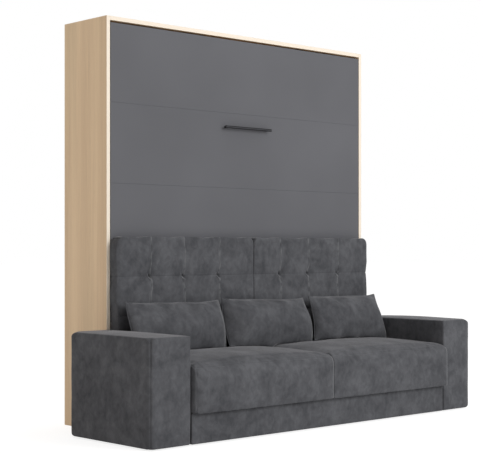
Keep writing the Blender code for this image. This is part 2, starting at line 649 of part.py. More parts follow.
def make_gas_springs(tube_bodies, rod_bodies):
    """A tube hung on the cabinet's stud on each side, and the rod that slides in it to the bed's stud."""
    bore = SPRING_ROD_RADIUS + RUNNING_GAP
    eye_bore = SPRING_STUD_RADIUS + RUNNING_GAP
    bracket_x1 = SIDE_INNER_X - SEAT_GAP
    bracket_x0 = bracket_x1 - BRACKET_PLATE_THICKNESS
    for name, side in SIDES:
        anchor, turn, length = spring_frame(side)
        half_eye = SPRING_EYE_WIDTH / 2
        size = SPRING_BRACKET_SIZE / 2
        low_z, high_z = anchor.z - size, anchor.z + size
        outline = plate_outline(anchor.y - size, anchor.y + size, low_z, high_z, PLATE_ROUND)
        base = plate(outline, side * bracket_x0, side * bracket_x1, anchor)
        stud = bmesh.new()
        stud_x0 = abs(anchor.x) - half_eye
        stud_length = bracket_x0 + BRACKET_PLATE_THICKNESS / 2 - stud_x0
        profile = [(0, 0), (SPRING_STUD_RADIUS, 0), (SPRING_STUD_RADIUS, stud_length), (0, stud_length)]
        turned(stud, profile, along_x(side, (side * stud_x0 - anchor.x, 0, 0)), SMALL_ROUND_SIDES)
        mesh = join_with_union(base, f"spring_bracket_{name}", [stud])
        piece(f"spring_bracket_{name}", mesh, anchor, "zinc_steel", smooth=True)

        def across(offset, radius, reach, sides):
            """A cylinder along X, whose middle is that far down the spring's line."""
            body = bmesh.new()
            profile = [(0, -reach), (radius, -reach), (radius, reach), (0, reach)]
            turned(body, profile, turn @ along_x(1, (0, 0, offset)), sides)
            return body

        tube = bmesh.new()
        start = SPRING_EYE_RADIUS - SPRING_EYE_RADIUS / 4
        floor = start + SPRING_TUBE_RADIUS
        profile = [(0, start), (SPRING_TUBE_RADIUS, start), (SPRING_TUBE_RADIUS, SPRING_TUBE_LENGTH)]
        profile += [(bore, SPRING_TUBE_LENGTH), (bore, floor), (0, floor)]
        turned(tube, profile, turn, SMALL_ROUND_SIDES)
        eye = across(0, SPRING_EYE_RADIUS, half_eye, ROUND_SIDES)
        mesh = join_with_union(tube, f"gas_spring_tube_{name}", [eye])
        hollow = bmesh.new()
        hollow.from_mesh(mesh)
        eye_cutter = across(0, eye_bore, half_eye + CUT_OVERRUN, SMALL_ROUND_SIDES)
        mesh = cut(hollow, f"gas_spring_tube_{name}", [eye_cutter])
        piece(f"gas_spring_tube_{name}", mesh, anchor, "black_metal", tube_bodies[name], smooth=True)

        rod = bmesh.new()
        end = length - SPRING_EYE_RADIUS + SPRING_EYE_RADIUS / 4
        start = length - SPRING_ROD_LENGTH
        profile = [(0, start), (SPRING_ROD_RADIUS, start), (SPRING_ROD_RADIUS, end), (0, end)]
        turned(rod, profile, turn, SMALL_ROUND_SIDES)
        eye = across(length, SPRING_EYE_RADIUS, half_eye, ROUND_SIDES)
        mesh = join_with_union(rod, f"gas_spring_rod_{name}", [eye])
        piece(f"gas_spring_rod_{name}", mesh, anchor, "zinc_steel", rod_bodies[name], smooth=True)


def make_legs(bed_body, leg_bodies):
    """The flat steel legs that lie over the head rail, and the shoulder bolts that they swing on."""
    low_z = BED_TOP + LEG_SLOT_GAP
    high_z = low_z + LEG_THICKNESS
    pivot_x = FRONT_HALF_WIDTH - LEG_PIVOT_INSET - LEG_WIDTH
    pivot_y = FRONT_Y + LEG_PIVOT_SETBACK
    reach = BED_UNDERSIDE + LEG_PIVOT_SETBACK - LEG_FLOOR_GAP
    bar_reach = reach - LEG_SHOE_LENGTH - SEAT_GAP
    half = LEG_WIDTH / 2
    shank, head, top = LEG_THICKNESS + LEG_SLOT_GAP, LEG_BOLT_HEAD_RADIUS, LEG_BOLT_HEAD_HEIGHT
    bolt = [(0, -shank), (LEG_BOLT_RADIUS, -shank), (LEG_BOLT_RADIUS, 0), (head, 0), (head, top), (0, top)]
    for name, side in SIDES:
        centre = Vector((side * pivot_x, pivot_y, low_z))
        arc = [math.pi / 2 + math.pi * k / SMALL_ROUND_SIDES for k in range(SMALL_ROUND_SIDES + 1)]
        outline = [(half * math.cos(a), half * math.sin(a)) for a in arc]
        outline += [(bar_reach, -half), (bar_reach, half)]
        bm = bmesh.new()
        face = bm.faces.new([bm.verts.new((-side * x, y, 0)) for x, y in outline])
        grown = bmesh.ops.extrude_face_region(bm, geom=[face])["geom"]
        rise = Vector((0, 0, LEG_THICKNESS))
        bmesh.ops.translate(bm, vec=rise, verts=[v for v in grown if isinstance(v, bmesh.types.BMVert)])
        hole = bmesh.new()
        far = LEG_THICKNESS + CUT_OVERRUN
        radius = LEG_BOLT_RADIUS + RUNNING_GAP
        profile = [(0, -CUT_OVERRUN), (radius, -CUT_OVERRUN), (radius, far), (0, far)]
        turned(hole, profile, Matrix(), SMALL_ROUND_SIDES)
        mesh = cut(bm, f"leg_{name}", [hole])
        piece(f"leg_{name}", mesh, centre, "zinc_steel", leg_bodies[name], smooth=True)
        xs = sorted((side * (pivot_x - bar_reach - SEAT_GAP), side * (pivot_x - reach)))
        wide = half + LEG_SHOE_OVERHANG
        low = (xs[0], pivot_y - wide, low_z - LEG_SHOE_EXTRA)
        high = (xs[1], pivot_y + wide, high_z + LEG_SHOE_EXTRA)
        block(f"leg_shoe_{name}", low, high, "black_plastic", leg_bodies[name])
        place = (side * pivot_x, pivot_y, high_z + SEAT_GAP)
        turned_piece(f"leg_bolt_{name}", place, bolt, "zinc_steel", bed_body)


def tuft_places(low, high):
    """Where a back cushion's sewn lines run, counted from its middle: columns and rows."""
    width, middle = high[0] - low[0], (low[0] + high[0]) / 2
    columns = [low[0] + width * share - middle for share in TUFT_COLUMN_SHARES]
    middle_z = (low[2] + high[2]) / 2
    rows = [high[2] - TUFT_ROW_PITCH * k - middle_z for k in (1, 2)]
    return columns, rows


def make_backrest(body):
    """The two tufted back cushions and the plywood panels that they are glued to."""
    panel_back = FRONT_Y - SEAT_GAP
    cushion_back = panel_back - BACKREST_PANEL_THICKNESS - SEAT_GAP
    front = FRONT_Y - BACKREST_FRONT
    for name, side in SIDES:
        xs = sorted((side * CUSHION_SEAM_GAP / 2, side * FRONT_HALF_WIDTH))
        margin = BACKREST_PANEL_MARGIN
        low = (xs[0] + margin, panel_back - BACKREST_PANEL_THICKNESS, BACKREST_BOTTOM + margin)
        high = (xs[1] - margin, panel_back, BACKREST_TOP - margin)
        block(f"backrest_panel_{name}", low, high, "plywood", body)

        low, high = (xs[0], front, BACKREST_BOTTOM), (xs[1], cushion_back, BACKREST_TOP)
        centre = (Vector(low) + Vector(high)) / 2
        half = tuple((Vector(high) - Vector(low)) / 2)
        columns, rows = tuft_places(low, high)
        width = TUFT_LINE_HALF_WIDTH

        def station_list(lines, reach):
            found = [place + offset for place in lines for offset in (-width, 0.0, width)]
            borders = [-reach, *sorted(lines), reach]
            found += [(a + b) / 2 for a, b in zip(borders, borders[1:])]
            return sorted(found)

        def tufted(p):
            x_line = max(math.exp(-(((p.x - c) / width) ** 2)) for c in columns)
            z_line = max(math.exp(-(((p.z - r) / width) ** 2)) for r in rows)
            front_share = max(0.0, -p.y / half[1])
            depth = TUFT_LINE_DEPTH * max(x_line, z_line)
            depth += (TUFT_POINT_DEPTH - TUFT_LINE_DEPTH) * x_line * z_line
            return Vector((p.x, p.y + depth * front_share, p.z))

        reach_x, reach_z = half[0] - BACKREST_ROUND, half[2] - BACKREST_ROUND
        inner = (station_list(columns, reach_x), [], station_list(rows, reach_z))
        bm = soft_block(half, BACKREST_ROUND, 2, inner, tufted)
        piece(f"back_cushion_{name}", mesh_from(bm, "back_cushion"), centre, "velvet", body, smooth=True)


def round_corner(a, b):
    """Draws a point of a square corner in to a circle. a and b are counted from the circle's centre."""
    if min(a, b) <= 0:
        return a, b
    share = max(a, b) / math.hypot(a, b)
    return a * share, b * share


def corner_places(half, rounding, steps=2):
    """Places along one side, in equal angles, for a corner that round_corner draws in."""
    quarter = math.pi / 4
    return [half - rounding + rounding * math.tan(quarter * k / steps) for k in range(steps)]


def make_arms():
    """Box arms with crisp edges, a crowned top and softer outer corners, each on four low glides."""
    top = ARM_HEIGHT - ARM_CROWN
    for name, side in SIDES:
        xs = sorted((side * SEAT_HALF_WIDTH, side * (SEAT_HALF_WIDTH + ARM_WIDTH)))
        low = Vector((xs[0], FRONT_Y - ARM_REACH, SOFA_GLIDE_HEIGHT))
        high = Vector((xs[1], FRONT_Y - SEAT_GAP, top))
        half = tuple((high - low) / 2)

        def crowned(p):
            swell = bump(p.x / half[0]) * bump(p.y / half[1])
            lift = ARM_CROWN * swell if p.z > half[2] - ARM_ROUND / 2 else 0.0
            reach_x, reach_y = half[0] - ARM_OUTER_ROUND, half[1] - ARM_OUTER_ROUND
            out, along = round_corner(side * p.x - reach_x, abs(p.y) - reach_y)
            return Vector((side * (reach_x + out), math.copysign(reach_y + along, p.y), p.z + lift))

        outer_x = [side * place for place in corner_places(half[0], ARM_OUTER_ROUND)]
        outer_y = corner_places(half[1], ARM_OUTER_ROUND)
        inner = [sorted(evenly(half[0], ARM_OUTER_ROUND, 1) + outer_x)]
        inner += [sorted(evenly(half[1], ARM_OUTER_ROUND, 2) + outer_y + [-place for place in outer_y]), []]
        bm = soft_block(half, ARM_ROUND, 2, inner, crowned)
        centre = (low + high) / 2
        glide_top = SOFA_GLIDE_HEIGHT + ARM_ROUND
        profile = [(0, 0), (SOFA_GLIDE_RADIUS, 0), (SOFA_GLIDE_RADIUS, glide_top), (0, glide_top)]
        glides = []
        for x in (xs[0] + SOFA_GLIDE_INSET, xs[1] - SOFA_GLIDE_INSET):
            for y in (low.y + SOFA_GLIDE_INSET, high.y - SOFA_GLIDE_INSET):
                glide = bmesh.new()
                turned(glide, profile, Matrix.Translation(Vector((x, y, 0)) - centre), GLIDE_SIDES)
                glides.append(glide)
        piece(f"arm_{name}", join_with_union(bm, f"arm_{name}", glides), centre, "velvet", smooth=True)


def make_sofa_base():
    """The plinth. Its side boards run on to the cabinet's kick board, where they are bolted on."""
    reach = SEAT_HALF_WIDTH - SEAT_GAP
    inner = reach - BASE_BOARD - SEAT_GAP
    front_y = FRONT_Y - ARM_REACH
    inside_y = front_y + BASE_FRONT_THICKNESS + SEAT_GAP
    back_y = FRONT_Y - BASE_BACK_SETBACK
    low, high = (-reach, front_y, SOFA_GLIDE_HEIGHT), (reach, front_y + BASE_FRONT_THICKNESS, BASE_HEIGHT)
    block("base_front", low, high, "velvet", None, BASE_FRONT_ROUND, 2)
    deck_bottom = BASE_HEIGHT - BASE_BOARD
    block("seat_deck", (-reach, inside_y, deck_bottom), (reach, back_y, BASE_HEIGHT), "plywood")
    top = deck_bottom - SEAT_GAP
    block("base_back", (-inner, back_y - BASE_BOARD, SOFA_GLIDE_HEIGHT), (inner, back_y, top), "plywood")
    half, cross_back = BASE_BOARD / 2, back_y - BASE_BOARD - SEAT_GAP
    block("base_divider", (-half, inside_y, SOFA_GLIDE_HEIGHT), (half, cross_back, top), "plywood")
    for name, side in SIDES:
        xs = sorted((side * (reach - BASE_BOARD), side * reach))
        low, high = (xs[0], inside_y, SOFA_GLIDE_HEIGHT), (xs[1], FRONT_Y - SEAT_GAP, top)
        block(f"base_side_{name}", low, high, "plywood")


def make_seat_cushions():
    """Two thick boxed cushions, flat underneath, crowned on top and rounder there than at their sides."""
    for name, side in SIDES:
        xs = sorted((side * CUSHION_SEAM_GAP / 2, side * (SEAT_HALF_WIDTH - SEAT_CUSHION_SIDE_GAP)))
        low = Vector((xs[0], FRONT_Y - SOFA_REACH + SEAT_CUSHION_BULGE, SEAT_DECK_TOP + SEAT_GAP))
        high = Vector((xs[1], FRONT_Y - SEAT_SETBACK, low.z + SEAT_CUSHION_HEIGHT))
        half = tuple((high - low) / 2)

        reach = [h - SEAT_CUSHION_TOP_ROUND for h in half]

        def crowned(p):
            across, along, up = p.x / half[0], p.y / half[1], p.z / half[2]
            out, rise = round_corner(abs(p.x) - reach[0], p.z - reach[2])
            front, rise = round_corner(abs(p.y) - reach[1], rise)
            z = reach[2] + rise + SEAT_CUSHION_CROWN * bump(across) * bump(along) * max(0.0, up)
            y = math.copysign(reach[1] + front, p.y)
            y -= SEAT_CUSHION_BULGE * bump(across) * bump(up) * max(0.0, -along)
            return Vector((math.copysign(reach[0] + out, p.x), y, z))

        inner = []
        for h, count in zip(half, (5, 3, 1)):
            corners = corner_places(h, SEAT_CUSHION_TOP_ROUND)
            inner.append(sorted(evenly(h, SEAT_CUSHION_TOP_ROUND, count) + corners + [-c for c in corners]))
        inner[2] = [place for place in inner[2] if place >= 0]
        bm = soft_block(half, SEAT_CUSHION_ROUND, 2, inner, crowned)
        piece(f"seat_cushion_{name}", mesh_from(bm, "seat_cushion"), (low + high) / 2, "velvet", smooth=True)


def pillow_mesh(name):
    """A knife-edged pillow seen from the front in X and Z: its sides pull in between the four corners.

    A cell at a tip is split through the tip, so that its front and back halves share no triangle.
    """
    columns, rows = 10, 6
    bm = bmesh.new()
    made = {}
    half_w, half_h, half_t = PILLOW_WIDTH / 2, PILLOW_HEIGHT / 2, PILLOW_THICKNESS / 2

    def vert(i, j, side):
        u, v = 2 * i / columns - 1, 2 * j / rows - 1
        u, v = math.sin(u * math.pi / 2), math.sin(v * math.pi / 2)
        on_seam = i in (0, columns) or j in (0, rows)
        key = (i, j, 0 if on_seam else side)
        if key not in made:
            x = half_w * u - PILLOW_CORNER_PULL * u * bump(v)
            z = half_h * v - PILLOW_CORNER_PULL * v * bump(u) / 2
            swell = 0.0 if on_seam else (bump(u) * bump(v)) ** 0.4
            made[key] = bm.verts.new((x, side * half_t * swell, z))
        return made[key]

    for side in (-1, 1):
        for i in range(columns):
            for j in range(rows):
                ring = [(i, j), (i + 1, j), (i + 1, j + 1), (i, j + 1)]
                tips = [k for k, (a, b) in enumerate(ring) if a in (0, columns) and b in (0, rows)]
                if not tips:
                    bm.faces.new([vert(a, b, side) for a, b in ring])
                    continue
                tip, before, opposite, after = ring[tips[0] :] + ring[: tips[0]]
                bm.faces.new([vert(a, b, side) for a, b in (tip, before, opposite)])
                bm.faces.new([vert(a, b, side) for a, b in (tip, opposite, after)])
    return mesh_from(bm, name)


def seat_height(x, y):
    """How high the crowned top of the seat cushions is there, away from their rounded edges."""
    half_x = (SEAT_HALF_WIDTH - SEAT_CUSHION_SIDE_GAP - CUSHION_SEAM_GAP / 2) / 2
    half_y = (SOFA_REACH - SEAT_CUSHION_BULGE - SEAT_SETBACK) / 2
    across = (abs(x) - CUSHION_SEAM_GAP / 2 - half_x) / half_x
    along = (y - (FRONT_Y - SEAT_SETBACK - half_y)) / half_y
    return SEAT_TOP - SEAT_CUSHION_CROWN * (1 - bump(across) * bump(along))


def make_pillows():
    """Three loose pillows that stand on the seat and lean back on the back cushions."""
    mesh = pillow_mesh("pillow")
    mesh.transform(Matrix.Rotation(-math.radians(PILLOW_LEAN_DEG), 4, "X"))
    centre_y = FRONT_Y - BACKREST_FRONT - SEAT_GAP - max(v.co.y for v in mesh.vertices)
    for name, number in (("left", -1), ("middle", 0), ("right", 1)):
        centre_x = number * PILLOW_PITCH
        points = [(v.co.x + centre_x, v.co.y + centre_y, v.co.z) for v in mesh.vertices]
        centre_z = max(seat_height(x, y) - z for x, y, z in points) + SEAT_GAP - PILLOW_SETTLE
        piece(f"pillow_{name}", mesh.copy(), (centre_x, centre_y, centre_z), "velvet", smooth=True)


def main():
    clear_scene()
    make_materials()
    bed = pivot_empty("bed_axis", (0, PIVOT_Y, PIVOT_Z))
    leg_x = FRONT_HALF_WIDTH - LEG_PIVOT_INSET - LEG_WIDTH
    legs, tubes, rods = {}, {}, {}
    for name, side in SIDES:
        leg_place = (side * leg_x, FRONT_Y + LEG_PIVOT_SETBACK, BED_TOP)
        legs[name] = pivot_empty(f"leg_axis_{name}", leg_place, bed)
        anchor, _, _ = spring_frame(side)
        tubes[name] = pivot_empty(f"gas_spring_axis_{name}", anchor)
        rods[name] = pivot_empty(f"gas_spring_slide_{name}", anchor, tubes[name])
    make_cabinet()
    make_front_boards(bed)
    make_bed_frame(bed)
    make_mattress(bed)
    make_handle(bed)
    make_pivots(bed)
    make_gas_springs(tubes, rods)
    make_legs(bed, legs)
    make_backrest(bed)
    make_arms()
    make_sofa_base()
    make_seat_cushions()
    make_pillows()
    report()


def report():
    """Prints the joint axes and a few sizes that someone who fits the part would want to check."""
    bpy.context.view_layer.update()
    for name in EMPTY_PLACES:
        print(name, [round(c, 6) for c in bpy.data.objects[name].matrix_world.translation])
    rest_y, rest_z = crank_point()
    open_y, open_z = crank_point(90.0)
    anchor, _, rest = spring_frame(1)
    line = np.array([open_y - anchor.y, open_z - anchor.z])
    start = math.degrees(math.atan2(rest_z - anchor.z, rest_y - anchor.y))
    end = math.degrees(math.atan2(line[1], line[0]))
    print("gas spring length", round(rest, 6), "to", round(float(np.linalg.norm(line)), 6))
    print("gas spring angle", round(start, 4), "to", round(end, 4))
    print("seat top", round(SEAT_TOP, 5), "front y", round(FRONT_Y, 5), "back y", round(BACK_Y, 5))


main()
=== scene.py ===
"""The looks of a wall bed with a sofa: oak veneer cabinet, slate front, charcoal velvet upholstery.

Run as a script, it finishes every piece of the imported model, sews the soft pieces and sets up a pale studio.
"""

import json
import math

import bmesh
import bpy
import numpy as np
from bpy.props import FloatProperty, FloatVectorProperty, IntProperty, PointerProperty
from mathutils import Matrix, Vector, noise
from mathutils.bvhtree import BVHTree

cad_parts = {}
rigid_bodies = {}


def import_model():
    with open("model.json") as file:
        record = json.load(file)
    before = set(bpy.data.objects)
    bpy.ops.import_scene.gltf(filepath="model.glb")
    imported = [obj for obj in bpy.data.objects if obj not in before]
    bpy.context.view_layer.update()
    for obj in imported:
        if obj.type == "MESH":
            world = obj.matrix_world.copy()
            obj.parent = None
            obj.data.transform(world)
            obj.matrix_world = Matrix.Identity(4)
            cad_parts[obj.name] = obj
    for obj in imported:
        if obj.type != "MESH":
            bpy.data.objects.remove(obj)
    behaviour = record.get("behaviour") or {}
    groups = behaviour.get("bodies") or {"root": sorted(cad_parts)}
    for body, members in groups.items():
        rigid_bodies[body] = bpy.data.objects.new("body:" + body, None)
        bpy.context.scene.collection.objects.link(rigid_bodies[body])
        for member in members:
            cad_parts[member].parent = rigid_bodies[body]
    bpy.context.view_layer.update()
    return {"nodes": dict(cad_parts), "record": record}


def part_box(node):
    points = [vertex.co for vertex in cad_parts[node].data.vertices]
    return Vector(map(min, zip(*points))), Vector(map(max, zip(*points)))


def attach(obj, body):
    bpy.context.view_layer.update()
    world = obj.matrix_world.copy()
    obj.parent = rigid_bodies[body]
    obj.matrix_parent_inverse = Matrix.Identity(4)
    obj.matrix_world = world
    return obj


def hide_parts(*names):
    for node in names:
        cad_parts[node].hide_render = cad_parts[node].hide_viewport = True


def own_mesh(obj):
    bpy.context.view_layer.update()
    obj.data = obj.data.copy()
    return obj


bl_info = {
    "name": "Wall Bed with Sofa",
    "version": (1, 0, 0),
    "blender": (4, 5, 0),
    "location": "3D View > Sidebar > Wall Bed",
    "description": "Finishes and upholstery for a fold-down wall bed with a sofa in front of it",
    "category": "Object",
}

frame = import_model()

SIDES = ("left", "right")
PILLOWS = ("left", "middle", "right")
FRONT_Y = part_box("cabinet_top")[0].y
GLIDE_TOP = 0.0064
TUBE_SIDES = 6
TINY = 1e-9


def colour(name, description, default):
    return FloatVectorProperty(
        name=name, description=description, default=default, size=3, subtype="COLOR", min=0.0, max=1.0
    )


def number(name, description, default, **settings):
    return FloatProperty(name=name, description=description, default=default, **settings)


def length(name, description, default):
    return number(name, description, default, unit="LENGTH", precision=4)


def angle(name, description, degrees):
    return number(name, description, math.radians(degrees), unit="ROTATION")


class WALLBED_PG_cabinet(bpy.types.PropertyGroup):
    """Colours and details of the cabinet and of the bed's front."""

    oak_light: colour("Oak Light", "Pale stretches of the veneer", (0.89, 0.67, 0.43))
    oak_dark: colour("Oak Dark", "Darker lines of the veneer's grain", (0.695, 0.49, 0.30))
    oak_straw: colour("Oak Straw", "Greenish straw stretches of the veneer", (0.66, 0.55, 0.34))
    edge_band: colour("Edge Band", "Pale band on the boards' front edges", (0.90, 0.80, 0.67))
    front_grey: colour("Front Grey", "Laminate of the bed's front", (0.122, 0.124, 0.136))
    handle_black: colour("Handle Black", "Powder coat of the handle", (0.012, 0.012, 0.014))
    edge_band_depth: length("Edge Band Depth", "How far back the pale band reaches", 0.0012)
    screw_head: length("Screw Head", "Radius of the heads of the bracket screws", 0.0045)


class WALLBED_PG_velvet(bpy.types.PropertyGroup):
    """The upholstery's pile."""

    pile_dark: colour("Pile Dark", "Where the pile lies towards the viewer", (0.064, 0.066, 0.073))
    pile_light: colour("Pile Light", "Where the pile is brushed away", (0.124, 0.127, 0.138))
    # Painted highlight: the pale colour that seams, tufts and edges turn to where they catch the light.
    seam_light: colour("Seam Light", "The pile where a seam bends it open", (0.20, 0.205, 0.215))
    cloud_size: length("Cloud Size", "Width of the cloudy patches in the nap", 0.13)
    brush_size: length("Brush Size", "Width of the smaller brush marks", 0.028)


class WALLBED_PG_cushions(bpy.types.PropertyGroup):
    """Shapes of the soft pieces."""

    cell: length("Cell", "Spacing of the points that make up a soft surface", 0.011)
    arm_edge: length("Arm Edge", "Rounding of the arms' crisp edges", 0.009)
    arm_corner: length("Arm Corner", "Rounding of the arms' outer upright edges", 0.032)
    arm_tip: length("Arm Tip", "How far an outer corner of an arm's top is drawn down", 0.034)
    arm_crown: length("Arm Crown", "How much an arm's top rises in the middle", 0.010)
    seat_edge: length("Seat Edge", "Rounding of the seat cushions' boxed edges", 0.011)
    seat_round: length("Seat Rounding", "Rounding of the seat cushions' top edges", 0.054)
    seat_crown: length("Seat Crown", "How much a seat cushion rises in the middle", 0.032)
    back_edge: length("Back Edge", "Rounding of the back cushions' edges", 0.008)
    back_corner: length("Back Corner", "Rounding of a back cushion's outline", 0.038)
    back_cell: length("Back Cell", "Spacing of the points along a tufted seam", 0.002)
    tuft_depth: length("Tuft Depth", "How deep a tuft is pulled into a back cushion", 0.018)
    seam_depth: length("Seam Depth", "How deep the sewn lines lie", 0.005)
    pillow_height: length("Pillow Height", "A lumbar pillow's height, measured along its lean", 0.285)
    pillow_thickness: length("Pillow Thickness", "A lumbar pillow's thickness in its middle", 0.140)
    pillow_lean: angle("Pillow Lean", "How far the pillows lean back", 15.5)
    pillow_pressure: number("Pillow Pressure", "How hard the pillows are stuffed", 4.0)


class WALLBED_PG_stage(bpy.types.PropertyGroup):
    """The camera and the light."""

    floor_pale: colour("Floor", "The floor's colour", (0.90, 0.90, 0.90))
    floor_glow: number("Floor Glow", "Own light of the floor, as seen", 1.45)
    floor_share: number("Floor Share", "Share of own light in the floor", 0.55)
    world_warm: colour("World Warm", "Tint of the light from the left", (1.0, 0.94, 0.89))
    world_dim: number("World Dim", "Light from the left", 0.46)
    world_bright: number("World Bright", "Light from the right", 0.86)
    key_power: number("Key Power", "The large soft lamp", 185.0, unit="POWER")
    key_width: length("Key Width", "The large soft lamp's width", 3.4)
    camera_right: length("Camera Right", "The camera's place along X", -4.9695)
    camera_back: length("Camera Back", "The camera's place along Y", -5.2045)
    camera_height: length("Camera Height", "The camera's height", 0.956)
    camera_turn: angle("Camera Turn", "Turn from Y towards X", 42.646)
    focal_pixels: number("Focal Length", "In pixels of the photograph", 1273.8)
    horizon_drop: number("Horizon Drop", "Pixels below the middle", 21.85)
    photo_width: IntProperty(name="Photograph Width", description="In pixels", default=483)


PALETTE = {}


class Tree:
    """A node tree, with short ways to add to it."""

    def __init__(self, tree):
        self.tree = tree

    def node(self, kind, inputs=(), **settings):
        """Adds a node, and feeds its inputs, which are named or numbered, with values or sockets."""
        made = self.tree.nodes.new(kind)
        for key, value in settings.items():
            setattr(made, key, value)
        for key, value in dict(inputs).items():
            self.feed(made.inputs[key], value)
        return made

    def out(self, kind, output, inputs=(), **settings):
        """Adds a node and gives one of its outputs."""
        return self.node(kind, inputs, **settings).outputs[output]

    def feed(self, socket, value):
        if isinstance(value, bpy.types.NodeSocket):
            self.tree.links.new(value, socket)
        else:
            socket.default_value = value

    def maths(self, operation, a, b=0.0):
        return self.out("ShaderNodeMath", 0, {0: a, 1: b}, operation=operation)

    def average(self, a, b, share):
        """This share of a and the rest of b."""
        return self.maths("ADD", self.maths("MULTIPLY", a, share), self.maths("MULTIPLY", b, 1 - share))

    def spread(self, value, low, high, to_low=0.0, to_high=1.0):
        inputs = {"Value": value, "From Min": low, "From Max": high, "To Min": to_low, "To Max": to_high}
        return self.out("ShaderNodeMapRange", "Result", inputs)

    def blend(self, factor, first, second):
        inputs = {"Factor": factor, 6: as_rgba(first), 7: as_rgba(second)}
        return self.out("ShaderNodeMix", 2, inputs, data_type="RGBA")

    def axis(self, place, name):
        return self.out("ShaderNodeSeparateXYZ", name, {0: place})

    def seen(self):
        """1 on the rays that show a thing to the camera, and 0 on those that only carry light."""
        path = self.node("ShaderNodeLightPath").outputs
        direct = self.maths("MAXIMUM", path["Is Camera Ray"], path["Is Glossy Ray"])
        return self.maths("MAXIMUM", direct, path["Is Transmission Ray"])


class Finish(Tree):
    """A material's tree. The material goes into the palette under its name."""

    def __init__(self, name, roughness=0.5, metallic=0.0):
        self.material = bpy.data.materials.new(name)
        self.material.use_nodes = True
        super().__init__(self.material.node_tree)
        self.shader = self.tree.nodes["Principled BSDF"]
        self.set("Roughness", roughness)
        self.set("Metallic", metallic)
        self.place = self.out("ShaderNodeTexCoord", "Object")
        PALETTE[name] = self.material

    def noise(self, scale, detail=2.0, roughness=0.5, distortion=0.0, stretch=(1, 1, 1)):
        place = self.out("ShaderNodeMapping", 0, {"Vector": self.place, "Scale": stretch})
        inputs = {"Vector": place, "Scale": scale, "Detail": detail, "Roughness": roughness}
        return self.out("ShaderNodeTexNoise", "Fac", {**inputs, "Distortion": distortion})

    def tones(self, value, dark, light, low=0.3, high=0.7):
        """Two colours, mixed by a value that runs from low to high."""
        return self.blend(self.spread(value, low, high), dark, light)

    def set(self, name, value):
        self.feed(self.shader.inputs[name], value)

    def paint(self, value):
        self.set("Base Color", as_rgba(value))

    def bump(self, height, strength, distance, normal=None):
        inputs = {"Height": height, "Strength": strength, "Distance": distance}
        if normal:
            inputs["Normal"] = normal
        bumped = self.out("ShaderNodeBump", 0, inputs)
        self.set("Normal", bumped)
        return bumped


def as_rgba(value):
    if isinstance(value, bpy.types.NodeSocket):
        return value
    return (*value, 1.0) if len(value) == 3 else tuple(value)


def oak(name, settings, grain):
    """Pale oak veneer with a banded front edge. grain is the axis that its lines run along."""
    made = Finish(name)
    stretch = [0.035 if axis == grain else 1.0 for axis in "XYZ"]
    lines = made.noise(34.0, 6.0, 0.62, 0.35, stretch)
    broad = made.noise(9.0, distortion=0.2, stretch=stretch)
    streak = made.noise(5.5, distortion=0.3, stretch=stretch)
    pores = made.noise(420.0, roughness=0.6, stretch=stretch)
    pore_brown = (0.30, 0.19, 0.10)
    figure = made.spread(made.average(lines, broad, 0.45), 0.36, 0.66)
    wood = made.blend(figure, settings.oak_dark, settings.oak_light)
    wood = made.blend(made.spread(streak, 0.42, 0.66, 0.0, 0.40), wood, settings.oak_straw)
    wood = made.blend(made.spread(pores, 0.58, 0.75, 0.0, 0.16), wood, pore_brown)
    edge = made.maths("LESS_THAN", made.axis(made.place, "Y"), FRONT_Y + settings.edge_band_depth)
    made.paint(made.blend(edge, wood, settings.edge_band))
    made.set("Roughness", made.spread(figure, 0.0, 1.0, 0.42, 0.56))
    made.bump(pores, 0.12, 0.0004)


def laminate(settings):
    """The front's grey, a little cloudy, with a fine grit."""
    made = Finish("front_laminate")
    made.set("Specular IOR Level", 0.22)
    grit = made.noise(900.0, roughness=0.6)
    grey = Vector(settings.front_grey)
    cloudy = made.tones(made.noise(1.6), grey * 0.93, grey * 1.07)
    made.paint(made.blend(made.spread(grit, 0.3, 0.7, 0.0, 0.10), cloudy, grey * 0.7))
    made.set("Roughness", made.spread(grit, 0.3, 0.7, 0.58, 0.66))
    made.bump(grit, 0.06, 0.0003)


def velvet(settings):
    """Short pile with a cloudy nap. A mesh attribute named seam says how strongly a painted highlight lightens
    the pile, along seams, tufts and edges.
    """
    made = Finish("velvet")
    cloud = made.noise(1.0 / settings.cloud_size, 3.0, 0.55, 0.6)
    brushed = made.noise(1.0 / settings.brush_size, 4.0, 0.6, 0.5, (1.0, 1.0, 0.8))
    fibre = made.noise(650.0, roughness=0.7)
    mixed = made.average(cloud, brushed, 0.58)
    nap = made.spread(mixed, 0.36, 0.64)
    pile = made.blend(nap, settings.pile_dark, settings.pile_light)
    pile = made.blend(made.spread(fibre, 0.35, 0.65, 0.0, 0.28), pile, Vector(settings.pile_dark) * 0.75)
    # Painted highlight: the seam attribute lightens the pile towards the seam highlight colour.
    seam = made.out("ShaderNodeAttribute", "Fac", attribute_name="seam")
    made.paint(made.blend(seam, pile, settings.seam_light))
    made.set("Roughness", made.spread(nap, 0.0, 1.0, 0.95, 0.8))
    made.set("Sheen Weight", 0.45)
    made.set("Sheen Roughness", 0.35)
    made.set("Sheen Tint", (0.62, 0.62, 0.64, 1.0))
    made.set("Specular IOR Level", 0.12)
    made.bump(fibre, 0.35, 0.0006, made.bump(mixed, 0.30, 0.004))


def metal(name, tint, roughness, grain_size, metallic=1.0):
    made = Finish(name, metallic=metallic)
    grain = made.noise(grain_size, 3.0, 0.6)
    made.paint(made.tones(grain, Vector(tint) * 0.88, Vector(tint) * 1.06))
    made.set("Roughness", made.spread(grain, 0.3, 0.7, roughness * 0.8, roughness * 1.2))
    made.bump(grain, 0.08, 0.0002)


